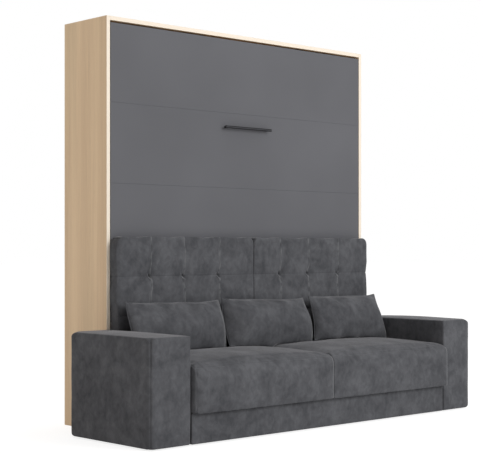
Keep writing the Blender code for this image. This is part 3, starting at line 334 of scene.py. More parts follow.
def handle_steel(settings):
    """The handle's coat, with a painted reflection: a pale band along the middle of its face, and darker edges
    above and below.
    """
    made = Finish("handle_steel", 0.6)
    made.set("Specular IOR Level", 0.2)
    low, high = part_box("handle_bar")
    tall, middle = high.z - low.z, (low.z + high.z) / 2
    off = made.maths("ABSOLUTE", made.maths("SUBTRACT", made.axis(made.place, "Z"), middle))
    face = made.spread(off, tall * 0.06, tall * 0.16, 1.0, 0.0)
    grain = made.noise(900.0, stretch=(0.05, 1, 1))
    # Painted reflection: a pale band along the middle of the face, broken by a fine grain; the edges are
    # painted darker than the coat.
    rubbed = made.maths("MULTIPLY", face, made.spread(grain, 0.2, 0.8, 0.8, 1.0))
    black = Vector(settings.handle_black)
    made.paint(made.blend(rubbed, black * 0.6, black * 6.0))
    made.bump(grain, 0.1, 0.0002)


def plastic(name, tint):
    made = Finish(name, 0.55)
    grain = made.noise(1200.0)
    made.paint(made.tones(grain, Vector(tint) * 0.85, Vector(tint) * 1.15))
    made.bump(grain, 0.1, 0.0003)


def bands(made, scale, distortion=0.0, direction="X"):
    inputs = {"Vector": made.place, "Scale": scale, "Distortion": distortion}
    return made.out("ShaderNodeTexWave", "Fac", inputs, bands_direction=direction)


def ticking():
    """The mattress cover: a white knit with fine ribs."""
    made = Finish("ticking", 0.9)
    loops = made.noise(380.0)
    made.paint(made.tones(loops, (0.68, 0.67, 0.64), (0.80, 0.79, 0.76)))
    made.set("Sheen Weight", 0.15)
    made.bump(loops, 0.3, 0.0006, made.bump(bands(made, 90.0, 1.0), 0.25, 0.0008))


def webbing():
    """The mattress straps: black tape with a cross weave."""
    made = Finish("webbing", 0.85)
    weave = bands(made, 260.0, direction="Z")
    made.paint(made.blend(weave, (0.018, 0.018, 0.02), (0.05, 0.05, 0.055)))
    made.bump(weave, 0.5, 0.0005)


def bare_wood(name, light, dark):
    """Unfinished wood with its grain along X."""
    made = Finish(name, 0.6)
    lines = made.noise(60.0, 5.0, 0.6, 0.4, (0.05, 1, 1))
    made.paint(made.tones(lines, dark, light, 0.35, 0.65))
    made.bump(lines, 0.1, 0.0005)


def box_surface(stations):
    """The points and outward quads of a closed box, gridded at the given places along each axis."""
    counts = [len(s) for s in stations]
    outer = np.zeros(counts, bool)
    for axis in range(3):
        for end in (0, -1):
            outer[tuple(end if a == axis else slice(None) for a in range(3))] = True
    order = np.full(counts, -1)
    order[outer] = np.arange(outer.sum())
    points = np.stack([stations[a][i] for a, i in enumerate(np.nonzero(outer))], 1)
    quads = []
    for axis in range(3):
        for end in (0, -1):
            sheet = np.take(order, end, axis)
            corners = (sheet[:-1, :-1], sheet[1:, :-1], sheet[1:, 1:], sheet[:-1, 1:])
            ring = np.stack(corners, -1).reshape(-1, 4)
            outward = (end == -1) != (axis == 1)
            quads.append(ring if outward else ring[:, ::-1])
    return points, np.concatenate(quads)


def side_places(half, rounding, cell, steps=4):
    """Places along one side: the rounded ends in equal angles, and the flat part in even cells."""
    flat = half - rounding
    ends = [flat + rounding * math.tan(math.pi / 4 * k / steps) for k in range(steps + 1)]
    count = max(2, round(2 * flat / cell))
    inner = np.linspace(-flat, flat, count + 1)[1:-1]
    return np.array(sorted([-e for e in ends] + list(inner) + ends))


def finer_near(places, middles, reach, cell):
    """Puts closer places within reach of each middle."""
    kept = [p for p in places if all(abs(p - m) > reach for m in middles)]
    steps = round(reach / cell)
    return np.array(sorted(kept + [m + reach * k / steps for m in middles for k in range(-steps, steps + 1)]))


def rounded_box(half, rounding, cell):
    """A box with rounded edges, as points about its middle and quads."""
    return round_off(half, rounding, *box_surface([side_places(h, rounding, cell) for h in half]))


def round_off(half, rounding, points, quads):
    """Rounds the edges of a gridded box."""
    core = np.clip(points, -(np.array(half) - rounding), np.array(half) - rounding)
    out = points - core
    reach = np.linalg.norm(out, axis=1, keepdims=True)
    return core + out / np.maximum(reach, TINY) * rounding, quads


def round_edges(points, half, radius, axes, signs=(0, 0)):
    """Rounds a box's edges that lie square to two axes. A sign keeps to one side, and 0 takes both."""
    out = points.copy()
    signs = [sign or np.copysign(1, points[:, axis]) for axis, sign in zip(axes, signs)]
    centres = [half[axis] - radius for axis in axes]
    a, b = (sign * points[:, axis] - centre for axis, sign, centre in zip(axes, signs, centres))
    share = np.where((a > 0) & (b > 0), np.maximum(a, b) / np.maximum(np.hypot(a, b), TINY), 1.0)
    for axis, sign, centre, past in zip(axes, signs, centres, (a, b)):
        out[:, axis] = sign * (centre + past * share)
    return out


def unit(share):
    return np.clip(share, 0, 1)


def swell(share):
    """1 in the middle of a side and 0 at its ends."""
    return unit(1 - share * share)


def bell(distance, width):
    return np.exp(-((distance / width) ** 2))


def fade(distance, reach):
    return np.exp(-distance / reach)


def ripple(points, size, height, seed):
    """A small smooth unevenness for each point, the same on each run."""
    offset = Vector((seed * 7.31, seed * 3.17, seed * 5.73))
    return np.array([noise.noise(Vector(p) / size + offset) for p in points]) * height


def add_object(name, data, finish=None):
    if finish:
        data.materials.append(PALETTE[finish])
    obj = bpy.data.objects.new(name, data)
    bpy.context.scene.collection.objects.link(obj)
    return obj


def add_piece(name, points, quads, finish="velvet"):
    mesh = bpy.data.meshes.new(name)
    mesh.from_pydata(np.asarray(points).tolist(), [], np.asarray(quads).tolist())
    mesh.shade_smooth()
    return add_object(name, mesh, finish)


def add_rigid(name, bm, body, finish):
    """Makes a piece of a bmesh and uses the bmesh up."""
    mesh = bpy.data.meshes.new(name)
    bm.to_mesh(mesh)
    bm.free()
    obj = add_object(name, mesh, finish)
    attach(obj, body)


def points_of(obj):
    out = np.empty(len(obj.data.vertices) * 3)
    obj.data.vertices.foreach_get("co", out)
    return out.reshape(-1, 3)


def move_points(obj, points):
    obj.data.vertices.foreach_set("co", np.asarray(points, dtype=np.float32).ravel())
    obj.data.update()


def fit_into(points, low, high):
    """Stretches the points so that they fill the box."""
    now_low, now_high = points.min(0), points.max(0)
    return np.array(low) + (points - now_low) / (now_high - now_low) * (np.array(high) - np.array(low))


def stuff(obj, pressure, frames, cap, held=None, slack=None):
    """Cloth blown up from inside. Points in held stay, and none moves further than cap.

    slack is how much longer the cloth is cut at each point than it lies, from 0 up.
    """
    start = points_of(obj)
    cloth = obj.modifiers.new("cloth", "CLOTH")
    settings = cloth.settings
    settings.quality = 6
    settings.mass = 0.25
    settings.tension_stiffness = settings.compression_stiffness = 18
    settings.shear_stiffness = 8
    settings.bending_stiffness = 0.4
    settings.use_pressure = True
    settings.uniform_pressure_force = pressure
    settings.effector_weights.gravity = 0
    cloth.collision_settings.use_collision = False
    if held is not None:
        group = obj.vertex_groups.new(name="held")
        group.add([int(i) for i in held], 1.0, "REPLACE")
        settings.vertex_group_mass = "held"
    if slack is not None:
        group = obj.vertex_groups.new(name="slack")
        most = float(max(slack))
        for i, share in enumerate(slack):
            group.add([i], float(share) / most, "REPLACE")
        settings.vertex_group_shrink = "slack"
        settings.shrink_min, settings.shrink_max = 0.0, -most
    cloth.point_cache.frame_start = 1
    cloth.point_cache.frame_end = frames
    scene = bpy.context.scene
    for step in range(1, frames + 1):
        scene.frame_set(step)
    evaluated = obj.evaluated_get(bpy.context.evaluated_depsgraph_get())
    after = np.empty(len(start) * 3)
    evaluated.data.vertices.foreach_get("co", after)
    move = after.reshape(-1, 3) - start
    size = np.linalg.norm(move, axis=1, keepdims=True)
    obj.modifiers.remove(cloth)
    obj.vertex_groups.clear()
    scene.frame_set(1)
    move_points(obj, start + move * np.minimum(1, cap / np.maximum(size, TINY)))


def subdivide_once(obj):
    """One smooth subdivision, applied."""
    finer = obj.modifiers.new("finer", "SUBSURF")
    finer.levels = finer.render_levels = 1
    apply_modifiers(obj)


def apply_modifiers(obj):
    mesh = bpy.data.meshes.new_from_object(obj.evaluated_get(bpy.context.evaluated_depsgraph_get()))
    obj.modifiers.clear()
    obj.data = mesh
    return obj


def add_tube(bm, path, radius, flat=(0.0, 1.0, 0.0)):
    """Adds a thin round tube along a closed path that lies square to flat."""
    ahead = np.roll(path, -1, 0) - np.roll(path, 1, 0)
    ahead /= np.linalg.norm(ahead, axis=1, keepdims=True)
    side = np.cross(ahead, np.tile(flat, (len(path), 1)))
    side /= np.maximum(np.linalg.norm(side, axis=1, keepdims=True), TINY)
    lift = np.cross(side, ahead)
    turn = np.linspace(0, 2 * math.pi, TUBE_SIDES, endpoint=False)[:, None]
    ring = side[:, None] * np.cos(turn) + lift[:, None] * np.sin(turn)
    rings = [[bm.verts.new(spot) for spot in spots] for spots in path[:, None] + ring * radius]
    for here, there in zip(rings, rings[1:] + rings[:1]):
        for k in range(TUBE_SIDES):
            m = (k + 1) % TUBE_SIDES
            bm.faces.new((here[k], here[m], there[m], there[k])).smooth = True


def mark_seams(obj, shares):
    """Stores how strong the painted highlight is at each point, 0 to 1, for the velvet to read."""
    attribute = obj.data.attributes.new("seam", "FLOAT", "POINT")
    attribute.data.foreach_set("value", np.asarray(shares, dtype=np.float32))


def sew_edge(obj, path, radius, light, flat=(0.0, 1.0, 0.0), rest=0.0):
    """Adds a sewn edge along a closed path.

    light says how strong the painted highlight is at each point of the path, rest how strong it is on the
    piece's own points.
    """
    bm = bmesh.new()
    bm.from_mesh(obj.data)
    before = len(bm.verts)
    add_tube(bm, path, radius, flat)
    bm.to_mesh(obj.data)
    bm.free()
    shares = np.zeros(len(obj.data.vertices))
    shares[:before] = rest
    shares[before:] = np.repeat(light, TUBE_SIDES)
    mark_seams(obj, shares)


def upholster(obj, body, fill, *nodes, slot="velvet"):
    """Makes a soft piece ride on its body and hides the pieces of the model that it stands for."""
    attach(obj, body)
    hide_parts(*nodes)


class WALLBED_OT_finish_frame(bpy.types.Operator):
    """Gives every rigid piece its wood, laminate, metal or plastic."""

    bl_idname = "wallbed.finish_frame"
    bl_label = "Finish Frame"

    across = ("cabinet_top", "kick_board", "back_rail_top", "back_rail_bottom", "head_rail", "foot_rail")

    def execute(self, context):
        cabinet = context.scene.wallbed_cabinet
        oak("oak_upright", cabinet, "Z")
        oak("oak_across", cabinet, "X")
        laminate(cabinet)
        velvet(context.scene.wallbed_velvet)
        metal("black_metal", cabinet.handle_black, 0.42, 500.0, 0.6)
        handle_steel(cabinet)
        metal("zinc_steel", (0.55, 0.55, 0.56), 0.32, 300.0)
        plastic("black_plastic", (0.02, 0.02, 0.022))
        bare_wood("beech", (0.66, 0.47, 0.28), (0.55, 0.37, 0.21))
        bare_wood("plywood", (0.60, 0.45, 0.28), (0.48, 0.34, 0.20))
        ticking()
        webbing()
        for part in frame["record"]["subparts"]:
            finish = part["material_slot"]
            if finish == "cabinet_wood":
                finish = "oak_across" if part["node"] in self.across else "oak_upright"
            if part["node"] == "handle_bar":
                finish = "handle_steel"
            for socket in frame["nodes"][part["node"]].material_slots:
                socket.material = PALETTE[finish]
        return {"FINISHED"}


class WALLBED_OT_build_arms(bpy.types.Operator):
    """Sews the two boxy arms: crisp edges, a gently crowned top and softer corners away from the seat."""

    bl_idname = "wallbed.build_arms"
    bl_label = "Build Arms"

    cell = 0.008
    # Top and bottom: the direction, how far in an outer corner is drawn, and by what share of the arm's tip.
    drawn_ends = ((1, 0.051, 1.0), (-1, 0.036, 0.5))
    # One outer corner of each arm is sewn a little wider than the other.
    wide, narrow = 1.15, 0.98
    fold_inset, fold_width, fold_depth = 0.034, 0.007, 0.0022
    fold_sway, fold_wave = 0.008, 0.07
    # A painted highlight strip on the right arm's front: how far in from the outer side, how wide and how
    # strong.
    mark_inset, mark_width, mark_share = 0.026, 0.014, 0.16

    def execute(self, context):
        sizes = context.scene.wallbed_cushions
        for side, sign in zip(SIDES, (-1, 1)):
            low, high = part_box(f"arm_{side}")
            low.z = GLIDE_TOP
            middle, half = (low + high) / 2, (high - low) / 2
            points, quads = rounded_box(half, sizes.arm_edge, self.cell)
            points = self.soften_outer_corners(points, half, sizes, sign)
            x, y, z = points.T
            across, along, up = (points / np.array(half)).T
            z += sizes.arm_crown * (swell(across) * swell(along) - 1) * unit(up) ** 6
            uneven = np.abs(ripple(points, 0.16, 0.0024, 3 + sign))
            uneven += np.abs(ripple(points * (1, 1, 0.35), 0.035, 0.0012, 5 + sign))
            x -= uneven * np.sign(across) * (np.abs(across) > 0.9)
            y -= uneven * np.sign(along) * (np.abs(along) > 0.95)
            front = along < -0.95
            fold = x + sign * (half.x - self.fold_inset) + self.fold_sway * np.sin(z / self.fold_wave)
            y += self.fold_depth * bell(fold, self.fold_width) * front * swell(up * 1.3)
            obj = add_piece(f"arm_cover_{side}", points + np.array(middle), quads)
            # Only the right arm gets the painted highlight strip, near its outer corner, clear of the top and
            # the bottom.
            if side == "right":
                seam = self.mark_share * front * bell(half.x - x - self.mark_inset, self.mark_width)
                mark_seams(obj, seam * (up > -0.9) * (up < 0.97))
            upholster(obj, "root", 0.95, f"arm_{side}")
        return {"FINISHED"}

    def soften_outer_corners(self, points, half, sizes, sign):
        """Rounds the two upright edges away from the seat, and their ends at the top and the bottom."""
        out = points.copy()
        inside = np.hypot(half.x - sign * points[:, 0], half.y - np.abs(points[:, 1]))
        wider = np.where(points[:, 1] * sign < 0, self.wide, self.narrow)
        for end, reach, share in self.drawn_ends:
            near = unit(1 - inside / (reach * wider)) ** 2 * unit(end * points[:, 2] / half.z) ** 3
            out[:, 2] -= end * sizes.arm_tip * share * wider * near
        return round_edges(out, half, sizes.arm_corner, (0, 1), (sign, 0))


class WALLBED_OT_build_tongues(bpy.types.Operator):
    """Tongues that close the narrow seams between the front boards from behind."""

    bl_idname = "wallbed.build_tongues"
    bl_label = "Build Tongues"

    seams = 4
    setback = 0.0001
    depth = 0.012
    slack = 0.0001

    def execute(self, context):
        bm = bmesh.new()
        for above in range(1, self.seams + 1):
            upper_low, upper_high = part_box(f"front_board_{above}")
            seam_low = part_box(f"front_board_{above + 1}")[1].z + self.slack
            seam_high = upper_low.z - self.slack
            low = Vector((upper_low.x, upper_low.y + self.setback, seam_low))
            size = Vector((upper_high.x - upper_low.x, self.depth, seam_high - seam_low))
            place = Matrix.Translation(low + size / 2) @ Matrix.Diagonal((*size, 1))
            bmesh.ops.create_cube(bm, size=1, matrix=place)
        add_rigid("front_tongues", bm, "bed", "front_laminate")
        return {"FINISHED"}


class WALLBED_OT_build_glides(bpy.types.Operator):
    """The low round glides under the arms."""

    bl_idname = "wallbed.build_glides"
    bl_label = "Build Glides"

    radius = 0.02
    taper = 0.94
    inset = 0.06
    segments = 28
    bevel = 0.0007

    def execute(self, context):
        bm = bmesh.new()
        for side in SIDES:
            low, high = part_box(f"arm_{side}")
            for x in (low.x + self.inset, high.x - self.inset):
                for y in (low.y + self.inset, high.y - self.inset):
                    self.add_glide(bm, Matrix.Translation((x, y, GLIDE_TOP / 2)))
        add_rigid("arm_glides", bm, "root", "black_plastic")
        return {"FINISHED"}

    def add_glide(self, bm, place):
        made = bmesh.ops.create_cone(
            bm, cap_ends=True, segments=self.segments, radius1=self.radius, radius2=self.radius * self.taper,
            depth=GLIDE_TOP, matrix=place,
        )
        # The rims' edges are shorter than the upright ones. A dict keeps them in order, each once.
        edges = dict.fromkeys(edge for corner in made["verts"] for edge in corner.link_edges)
        rims = [edge for edge in edges if edge.calc_length() < GLIDE_TOP / 1.2]
        bmesh.ops.bevel(bm, geom=rims, offset=self.bevel, segments=2, affect="EDGES")


class WALLBED_OT_build_plinth(bpy.types.Operator):
    """The upholstered board under the seat cushions."""

    bl_idname = "wallbed.build_plinth"
    bl_label = "Build Plinth"

    cell = 0.014
    end_gap = 0.0055
    rounding = 0.007

    def execute(self, context):
        low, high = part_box("base_front")
        half = (high - low) / 2
        half.x -= self.end_gap
        points, quads = rounded_box(half, self.rounding, self.cell)
        y = points[:, 1]
        front = y < -half[1] * 0.9
        y += np.abs(ripple(points, 0.2, 0.0025, 9)) * front
        y += np.abs(ripple(points * (1, 1, 0.5), 0.04, 0.0012, 11)) * front
        obj = add_piece("plinth_cover", points + np.array((low + high) / 2), quads)
        upholster(obj, "root", 1.0, "base_front")
        return {"FINISHED"}


class WALLBED_OT_build_seat(bpy.types.Operator):
    """Sews the two thick seat cushions and blows them up a little, so that their cover pulls."""

    bl_idname = "wallbed.build_seat"
    bl_label = "Build Seat Cushions"

    end_rounding = {"left": (0.024, 0.014), "right": (0.014, 0.014)}
    front_end = 0.028
    closing = 0.0005
    rise = 0.006
    welt = 0.0030
    front_bulge = 0.005
    lip, lip_reach, lip_height = 0.007, 0.014, 0.03
    pressure, frames, most_swell = 3.0, 16, 0.005
    # The seam round the right end gets a painted highlight at the front, and the highlight runs out this far
    # behind it.
    light_start, light_reach = 1.2, 0.25

    def execute(self, context):
        sizes = context.scene.wallbed_cushions
        for seed, side in enumerate(SIDES):
            low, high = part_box(f"seat_cushion_{side}")
            high.x += self.closing * (side == "left")
            low.x -= self.closing * (side == "right")
            middle, half = (low + high) / 2, (high - low) / 2
            body_half = Vector((half.x, half.y, half.z + (self.rise - sizes.seat_crown) / 2))
            square, quads = box_surface([side_places(h, sizes.seat_edge, sizes.cell) for h in body_half])
            end = self.end_outline(square)
            points, quads = round_off(body_half, sizes.seat_edge, square, quads)
            for sign, radius in zip((-1, 1), self.end_rounding[side]):
                points = round_edges(points, body_half, radius, (0, 2), (sign, 1))
            points = round_edges(points, body_half, sizes.seat_round, (1, 2), (0, 1))
            if side == "left":
                points = round_edges(points, body_half, self.front_end, (0, 1), (-1, -1))
            y, z = points.T[1:]
            across, along, up = (points / np.array(body_half)).T
            z += sizes.seat_crown * (1 - np.abs(across) ** 3) * swell(along) * unit(up)
            y -= self.front_bulge * swell(across) * swell(up) * unit(-along) ** 8
            obj = add_piece(f"seat_cover_{side}", points, quads)
            boxed = (np.abs(across) > 0.985) | (along > 0.97) | (up < -0.98)
            stuff(obj, self.pressure, self.frames, self.most_swell, np.nonzero(boxed)[0])
            points = points_of(obj)
            y, z = points.T[1:]
            loose = swell(across) ** 0.5
            front = (along < -0.8) * loose
            z += ripple(points, 0.13, 0.004, 20 + seed) * unit(up) * loose
            y += ripple(points, 0.11, 0.003, 30 + seed) * front
            y += ripple(points * (1, 1, 0.4), 0.035, 0.0014, 50 + seed) * front
            z *= (2 * half.z + self.rise) / (z.max() - z.min())
            z += -half.z - z.min()
            hanging = unit((-half.y + self.lip_reach - y) / self.lip_reach)
            z -= self.lip * hanging * unit((-half.z + self.lip_height - z) / self.lip_height)
            points += np.array(middle)
            move_points(obj, points)
            # Painted highlight on the right end's welt, strongest at the front and left off the lowered front
            # lip.
            path = points[end]
            light = unit(self.light_start - (path[:, 1] - low.y) / self.light_reach)
            light *= path[:, 2] > low.z - self.lip / 2
            sew_edge(obj, path, self.welt, light, flat=(1.0, 0.0, 0.0))
            subdivide_once(obj)
            upholster(obj, "root", 0.8, f"seat_cushion_{side}")
        return {"FINISHED"}

    @staticmethod
    def end_outline(points):
        """The points round the right end of a gridded box, in order."""
        right = points[:, 0] == points[:, 0].max()
        rim = np.zeros(len(points), bool)
        for axis in (1, 2):
            for edge in (points[:, axis].min(), points[:, axis].max()):
                rim |= points[:, axis] == edge
        ids = np.nonzero(right & rim)[0]
        return ids[np.argsort(np.arctan2(points[ids, 2], points[ids, 1]))]


class WALLBED_OT_build_back(bpy.types.Operator):
    """Sews the two back cushions: three upright seams, a cross seam in each row and tufts where they meet."""

    bl_idname = "wallbed.build_back"
    bl_label = "Build Back Cushions"

    column_shares = (0.225, 0.465, 0.73)
    row_pitch = 0.206
    column_reach, row_reach = 0.019, 0.030
    end_depth, end_reach = 0.004, 0.030
    side_plump = 0.0094
    top_plump = 0.006
    # Two sways of an upright seam, each with its size and scale, and each column's step in the first.
    sway, fine_sway, sway_step = (0.003, 0.031), (0.0016, 0.011), 2.1
    # How far a tuft pulls an upright seam to the side, across what height, and how far up and down it tells.
    tug, tug_turn, tug_reach = 0.009, 0.010, 0.035
    # A tuft is a slanting crease with a round pit, in a wide hollow, and a full fold lies to its lower left.
    crease, pit, hollow = (0.005, 0.017), 0.009, 0.028
    fold_height, fold_off, fold_slide, fold = 0.006, 0.012, 0.004, (0.006, 0.018)

    def execute(self, context):
        sizes = context.scene.wallbed_cushions
        for seed, side in enumerate(SIDES):
            low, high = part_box(f"back_cushion_{side}")
            high.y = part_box(f"backrest_panel_{side}")[1].y
            half = (high - low) / 2
            columns = [(share * 2 - 1) * half.x for share in self.column_shares]
            rows = [half.z - self.row_pitch * k for k in (1, 2)]
            stations = [side_places(h, sizes.back_edge, sizes.cell * 0.7) for h in half]
            stations[0] = finer_near(stations[0], columns, self.column_reach, sizes.back_cell)
            stations[2] = finer_near(stations[2], rows, self.row_reach, sizes.back_cell)
            points, quads = round_off(half, sizes.back_edge, *box_surface(stations))
            points = round_edges(points, half, sizes.back_corner, (0, 2))
            outer = -1 if side == "left" else 1
            points = self.plump_outline(points, half, outer, rows)
            depth, seam = self.tufting(points, half, columns, rows, sizes, seed)
            depth += self.end_depth * fade(np.maximum(half.x - outer * points[:, 0], 0), self.end_reach)
            front = unit(-points[:, 1] / half.y) ** 2
            points[:, 1] += depth * front
            obj = add_piece(f"back_cover_{side}", points + np.array((low + high) / 2), quads)
            # The painted highlights go on the front face only.
            mark_seams(obj, seam * front)
            upholster(obj, "bed", 0.7, f"back_cushion_{side}", f"backrest_panel_{side}")
        return {"FINISHED"}

    def plump_outline(self, points, half, outer, rows):
        """Lets the outer side swell between the seams, down to the lower row, and the top all along."""
        out = points.copy()
        pitch = half.z - rows[0]
        between = np.abs(np.sin(math.pi * (half.z - points[:, 2]) / pitch)) ** 0.6
        clear = unit((points[:, 2] - rows[-1] - 0.02) / 0.05)
        outwards = unit(outer * points[:, 0] / half.x) ** 12
        out[:, 0] += outer * self.side_plump * between * clear * outwards
        upwards = unit(points[:, 2] / half.z) ** 12
        out[:, 2] += self.top_plump * upwards * (0.6 + 0.4 * np.cos(points[:, 0] / half.x * math.pi * 4))
        return out

    def tufting(self, points, half, columns, rows, sizes, seed):
        """How far each point lies behind the fullest one, and how strong the painted highlight is there,
        beside the upright seams and on the tufts' folds.
        """
        x, z = points[:, 0], points[:, 2]
        depth = np.abs(ripple(points, 0.10, 0.005, 40 + seed))
        broken = ripple(points, 0.022, 1.0, 60 + seed)
        nearest, beside = np.full(len(points), 1.0), np.full(len(points), 1.0)
        for order, column in enumerate(columns):
            pulled = self.sway[0] * np.sin(z / self.sway[1] + order * self.sway_step + seed)
            pulled += self.fine_sway[0] * np.sin(z / self.fine_sway[1] + order)
            lean = 1 if (order + seed) % 2 else -1
            for above in (z - row for row in rows):
                tugged = np.tanh(above / self.tug_turn) * fade(np.abs(above), self.tug_reach)
                pulled += lean * self.tug * tugged
            away = x - column - pulled
            beside = np.where(np.abs(away) < nearest, away, beside)
            nearest = np.minimum(nearest, np.abs(away))
        depth += sizes.seam_depth * fade(nearest, 0.0035) + 0.007 * bell(nearest, 0.045)
        depth += 0.0012 * broken * fade(nearest, 0.018)
        # Painted highlight: a thin, broken pale line just to the right of each upright seam.
        seam = 0.75 * bell(beside - 0.0045, 0.0034) * unit(0.75 + 1.6 * broken)
        for row in rows:
            depth += sizes.seam_depth * 0.45 * fade(np.abs(z - row), 0.003) + 0.004 * bell(z - row, 0.040)
            for column in columns:
                dx, dz = x - column, z - row
                away = np.hypot(dx, dz)
                along, across = (dx - dz) / math.sqrt(2), (dx + dz) / math.sqrt(2)
                depth += 0.008 * bell(away, self.hollow)
                depth += sizes.tuft_depth * 0.45 * bell(across, self.crease[0]) * bell(along, self.crease[1])
                depth += sizes.tuft_depth * 0.18 * bell(away, self.pit)
                full = bell(across + self.fold_off, self.fold[0])
                depth -= self.fold_height * full * bell(along - self.fold_slide, self.fold[1])
                # Painted highlight on the full fold to the lower left of each tuft.
                seam += 0.55 * bell(across + 0.009, 0.004) * bell(along, 0.014)
        border = np.minimum(half.x - np.abs(x), half.z - np.abs(z))
        depth += 0.004 * fade(border, 0.014)
        return np.clip(depth, 0, half.y * 1.2), unit(seam)


class WALLBED_OT_build_pillows(bpy.types.Operator):
    """Blows up three flat-sewn lumbar pillows and leans them on the back cushions."""

    bl_idname = "wallbed.build_pillows"
    bl_label = "Build Pillows"

    cells = (78, 36)
    gap = 0.010
    sewn_edge = 0.0032
    # How far a pillow's right end is turned forwards, and from what share of its width on.
    turned_in, turned_from = 0.022, 0.72
    reach_out = {"left": (-0.002, -0.004), "middle": (-0.018, 0.008), "right": (-0.036, -0.012)}
    raised = {"left": (0.004, -0.004), "middle": (0.010, -0.010), "right": (0.005, 0.0)}
    forward = 0.014
    settle = 0.008
    frames = 24
    swell_share = 0.56
    cut_slack = 0.16
    corner_draw = 0.030
    sink = 0.012
    edge_wave = 0.005
    edge_dip = 0.010
    # How far the painted highlight on the sewn edge reaches in from the right end and from the top.
    mark_reach = 0.03
    sag_height = 0.07
    most_sag = 0.028
    clearance = 0.0012
    undercut, undercut_reach = 0.004, 0.03
    ray_start = 0.6

    def execute(self, context):
        sizes = context.scene.wallbed_cushions
        height, thick = sizes.pillow_height, sizes.pillow_thickness
        upright = Matrix.Rotation(-sizes.pillow_lean, 4, "X")
        for seed, name in enumerate(PILLOWS):
            low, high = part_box(f"pillow_{name}")
            width = high.x - low.x
            obj, rim, inward = self.sewn(f"pillow_cover_{name}", width, height, seed)
            slack = self.cut_slack * unit(inward * 5)
            stuff(obj, sizes.pillow_pressure, self.frames, thick * self.swell_share, rim, slack)
            points = self.smoothed(obj, rim)
            half = np.array((width, thick, height)) / 2
            turned = fit_into(points, -half, half) @ np.array(upright.to_3x3()).T
            out_left, out_right = self.reach_out[name]
            low = low - Vector((out_left, self.forward, 0))
            high = high + Vector((out_right, -self.forward, -self.settle))
            points = fit_into(turned, low, high)
            x, y, z = points.T
            across = (x - low.x) / (high.x - low.x)
            y -= self.turned_in * unit((across - self.turned_from) / (1 - self.turned_from)) ** 2
            z += unit((z - low.z) / height) ** 2 * np.interp(x, (low.x, high.x), self.raised[name])
            points = self.settle_on_seat(points, low.z, points[rim][:, 1].min())
            move_points(obj, points)
            path = points[rim]
            x, y, z = path.T
            # Painted highlight: full on the sewn edge's right end, weaker along its top away from the left
            # end, none near the bottom, and a faint one on the cover near its right end.
            right = unit((x - high.x) / self.mark_reach + 1)
            top = 0.8 * unit((z - high.z) / self.mark_reach + 1) * (x > low.x + 0.05)
            light = np.maximum(right, top) * (z > low.z + 0.02)
            bent = 0.6 * unit((across - 0.955) / 0.045) ** 2
            sew_edge(obj, path, self.sewn_edge, light, rest=bent)
            subdivide_once(obj)
            upholster(obj, "root", 0.75, f"pillow_{name}")
            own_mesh(obj)
        return {"FINISHED"}

    @staticmethod
    def smoothed(obj, rim, passes=5):
        """Takes the sharpest creases out of the cloth, away from the sewn edge."""
        points = points_of(obj)
        ends = np.array([edge.vertices[:] for edge in obj.data.edges])
        count = np.bincount(ends.ravel(), minlength=len(points))[:, None]
        for _ in range(passes):
            total = np.zeros_like(points)
            np.add.at(total, ends[:, 0], points[ends[:, 1]])
            np.add.at(total, ends[:, 1], points[ends[:, 0]])
            mean = total / count
            mean[rim] = points[rim]
            points = (points + mean) / 2
        return points

    def settle_on_seat(self, points, bottom, seam_y):
        """Lets the pillow's underside follow the seat cushions below it."""
        seats = [bpy.data.objects[f"seat_cover_{side}"].data for side in SIDES]
        surfaces = [
            BVHTree.FromPolygons([v.co for v in seat.vertices], [p.vertices for p in seat.polygons])
            for seat in seats
        ]
        down = Vector((0, 0, -1))
        out = points.copy()
        for i, (x, y, z) in enumerate(points):
            share = 1 - (z - bottom) / self.sag_height
            if share > 0:
                hits = [surface.ray_cast(Vector((x, y, self.ray_start)), down)[0] for surface in surfaces]
                top = max((hit.z for hit in hits if hit), default=bottom)
                drop = max(top, bottom - self.most_sag) + self.clearance - bottom - self.sink
                tucked = min(abs(y - seam_y) / self.undercut_reach, 1) ** 2
                under = self.clearance + self.undercut * tucked
                out[i, 2] = max(z + drop * share**1.5, top + under)
        return out

    def sewn(self, name, width, height, seed):
        """Two flat sheets sewn together round their edge.

        Also gives the edge's points in order, and how far each point lies inside the edge.
        """
        across, up = self.cells
        order = {}
        points, quads, inward = [], [], []
        for i, x in enumerate(np.linspace(-1, 1, across + 1)):
            for j, z in enumerate(np.linspace(-1, 1, up + 1)):
                rim = i in (0, across) or j in (0, up)
                depth = (1 - x * x) * (1 - z * z)
                sideways = 1 + self.corner_draw * min(x, 0) * max(z, 0) ** 2
                dip = self.edge_dip * (1 - x**8) * max(z, 0) ** 4
                wave = self.edge_wave * noise.noise(Vector((x * 2.6, z * 0.7, seed * 5.1))) / 0.4
                for side in (-1, 1):
                    if rim and side == 1:
                        order[i, j, 1] = order[i, j, -1]
                        continue
                    order[i, j, side] = len(points)
                    y = 0.0 if rim else side * self.gap * min(1, depth * 8)
                    points.append((x * sideways * width / 2, y + wave, z * height / 2 + wave * z * z - dip))
                    inward.append(depth)
        for i in range(across):
            for j in range(up):
                ring = [(i, j), (i + 1, j), (i + 1, j + 1), (i, j + 1)]
                quads.append([order[a, b, -1] for a, b in ring])
                quads.append([order[a, b, 1] for a, b in reversed(ring)])
        edge = [(i, 0) for i in range(across)] + [(across, j) for j in range(up)]
        edge += [(i, up) for i in range(across, 0, -1)] + [(0, j) for j in range(up, 0, -1)]
        return add_piece(name, points, quads), [order[i, j, -1] for i, j in edge], np.array(inward)


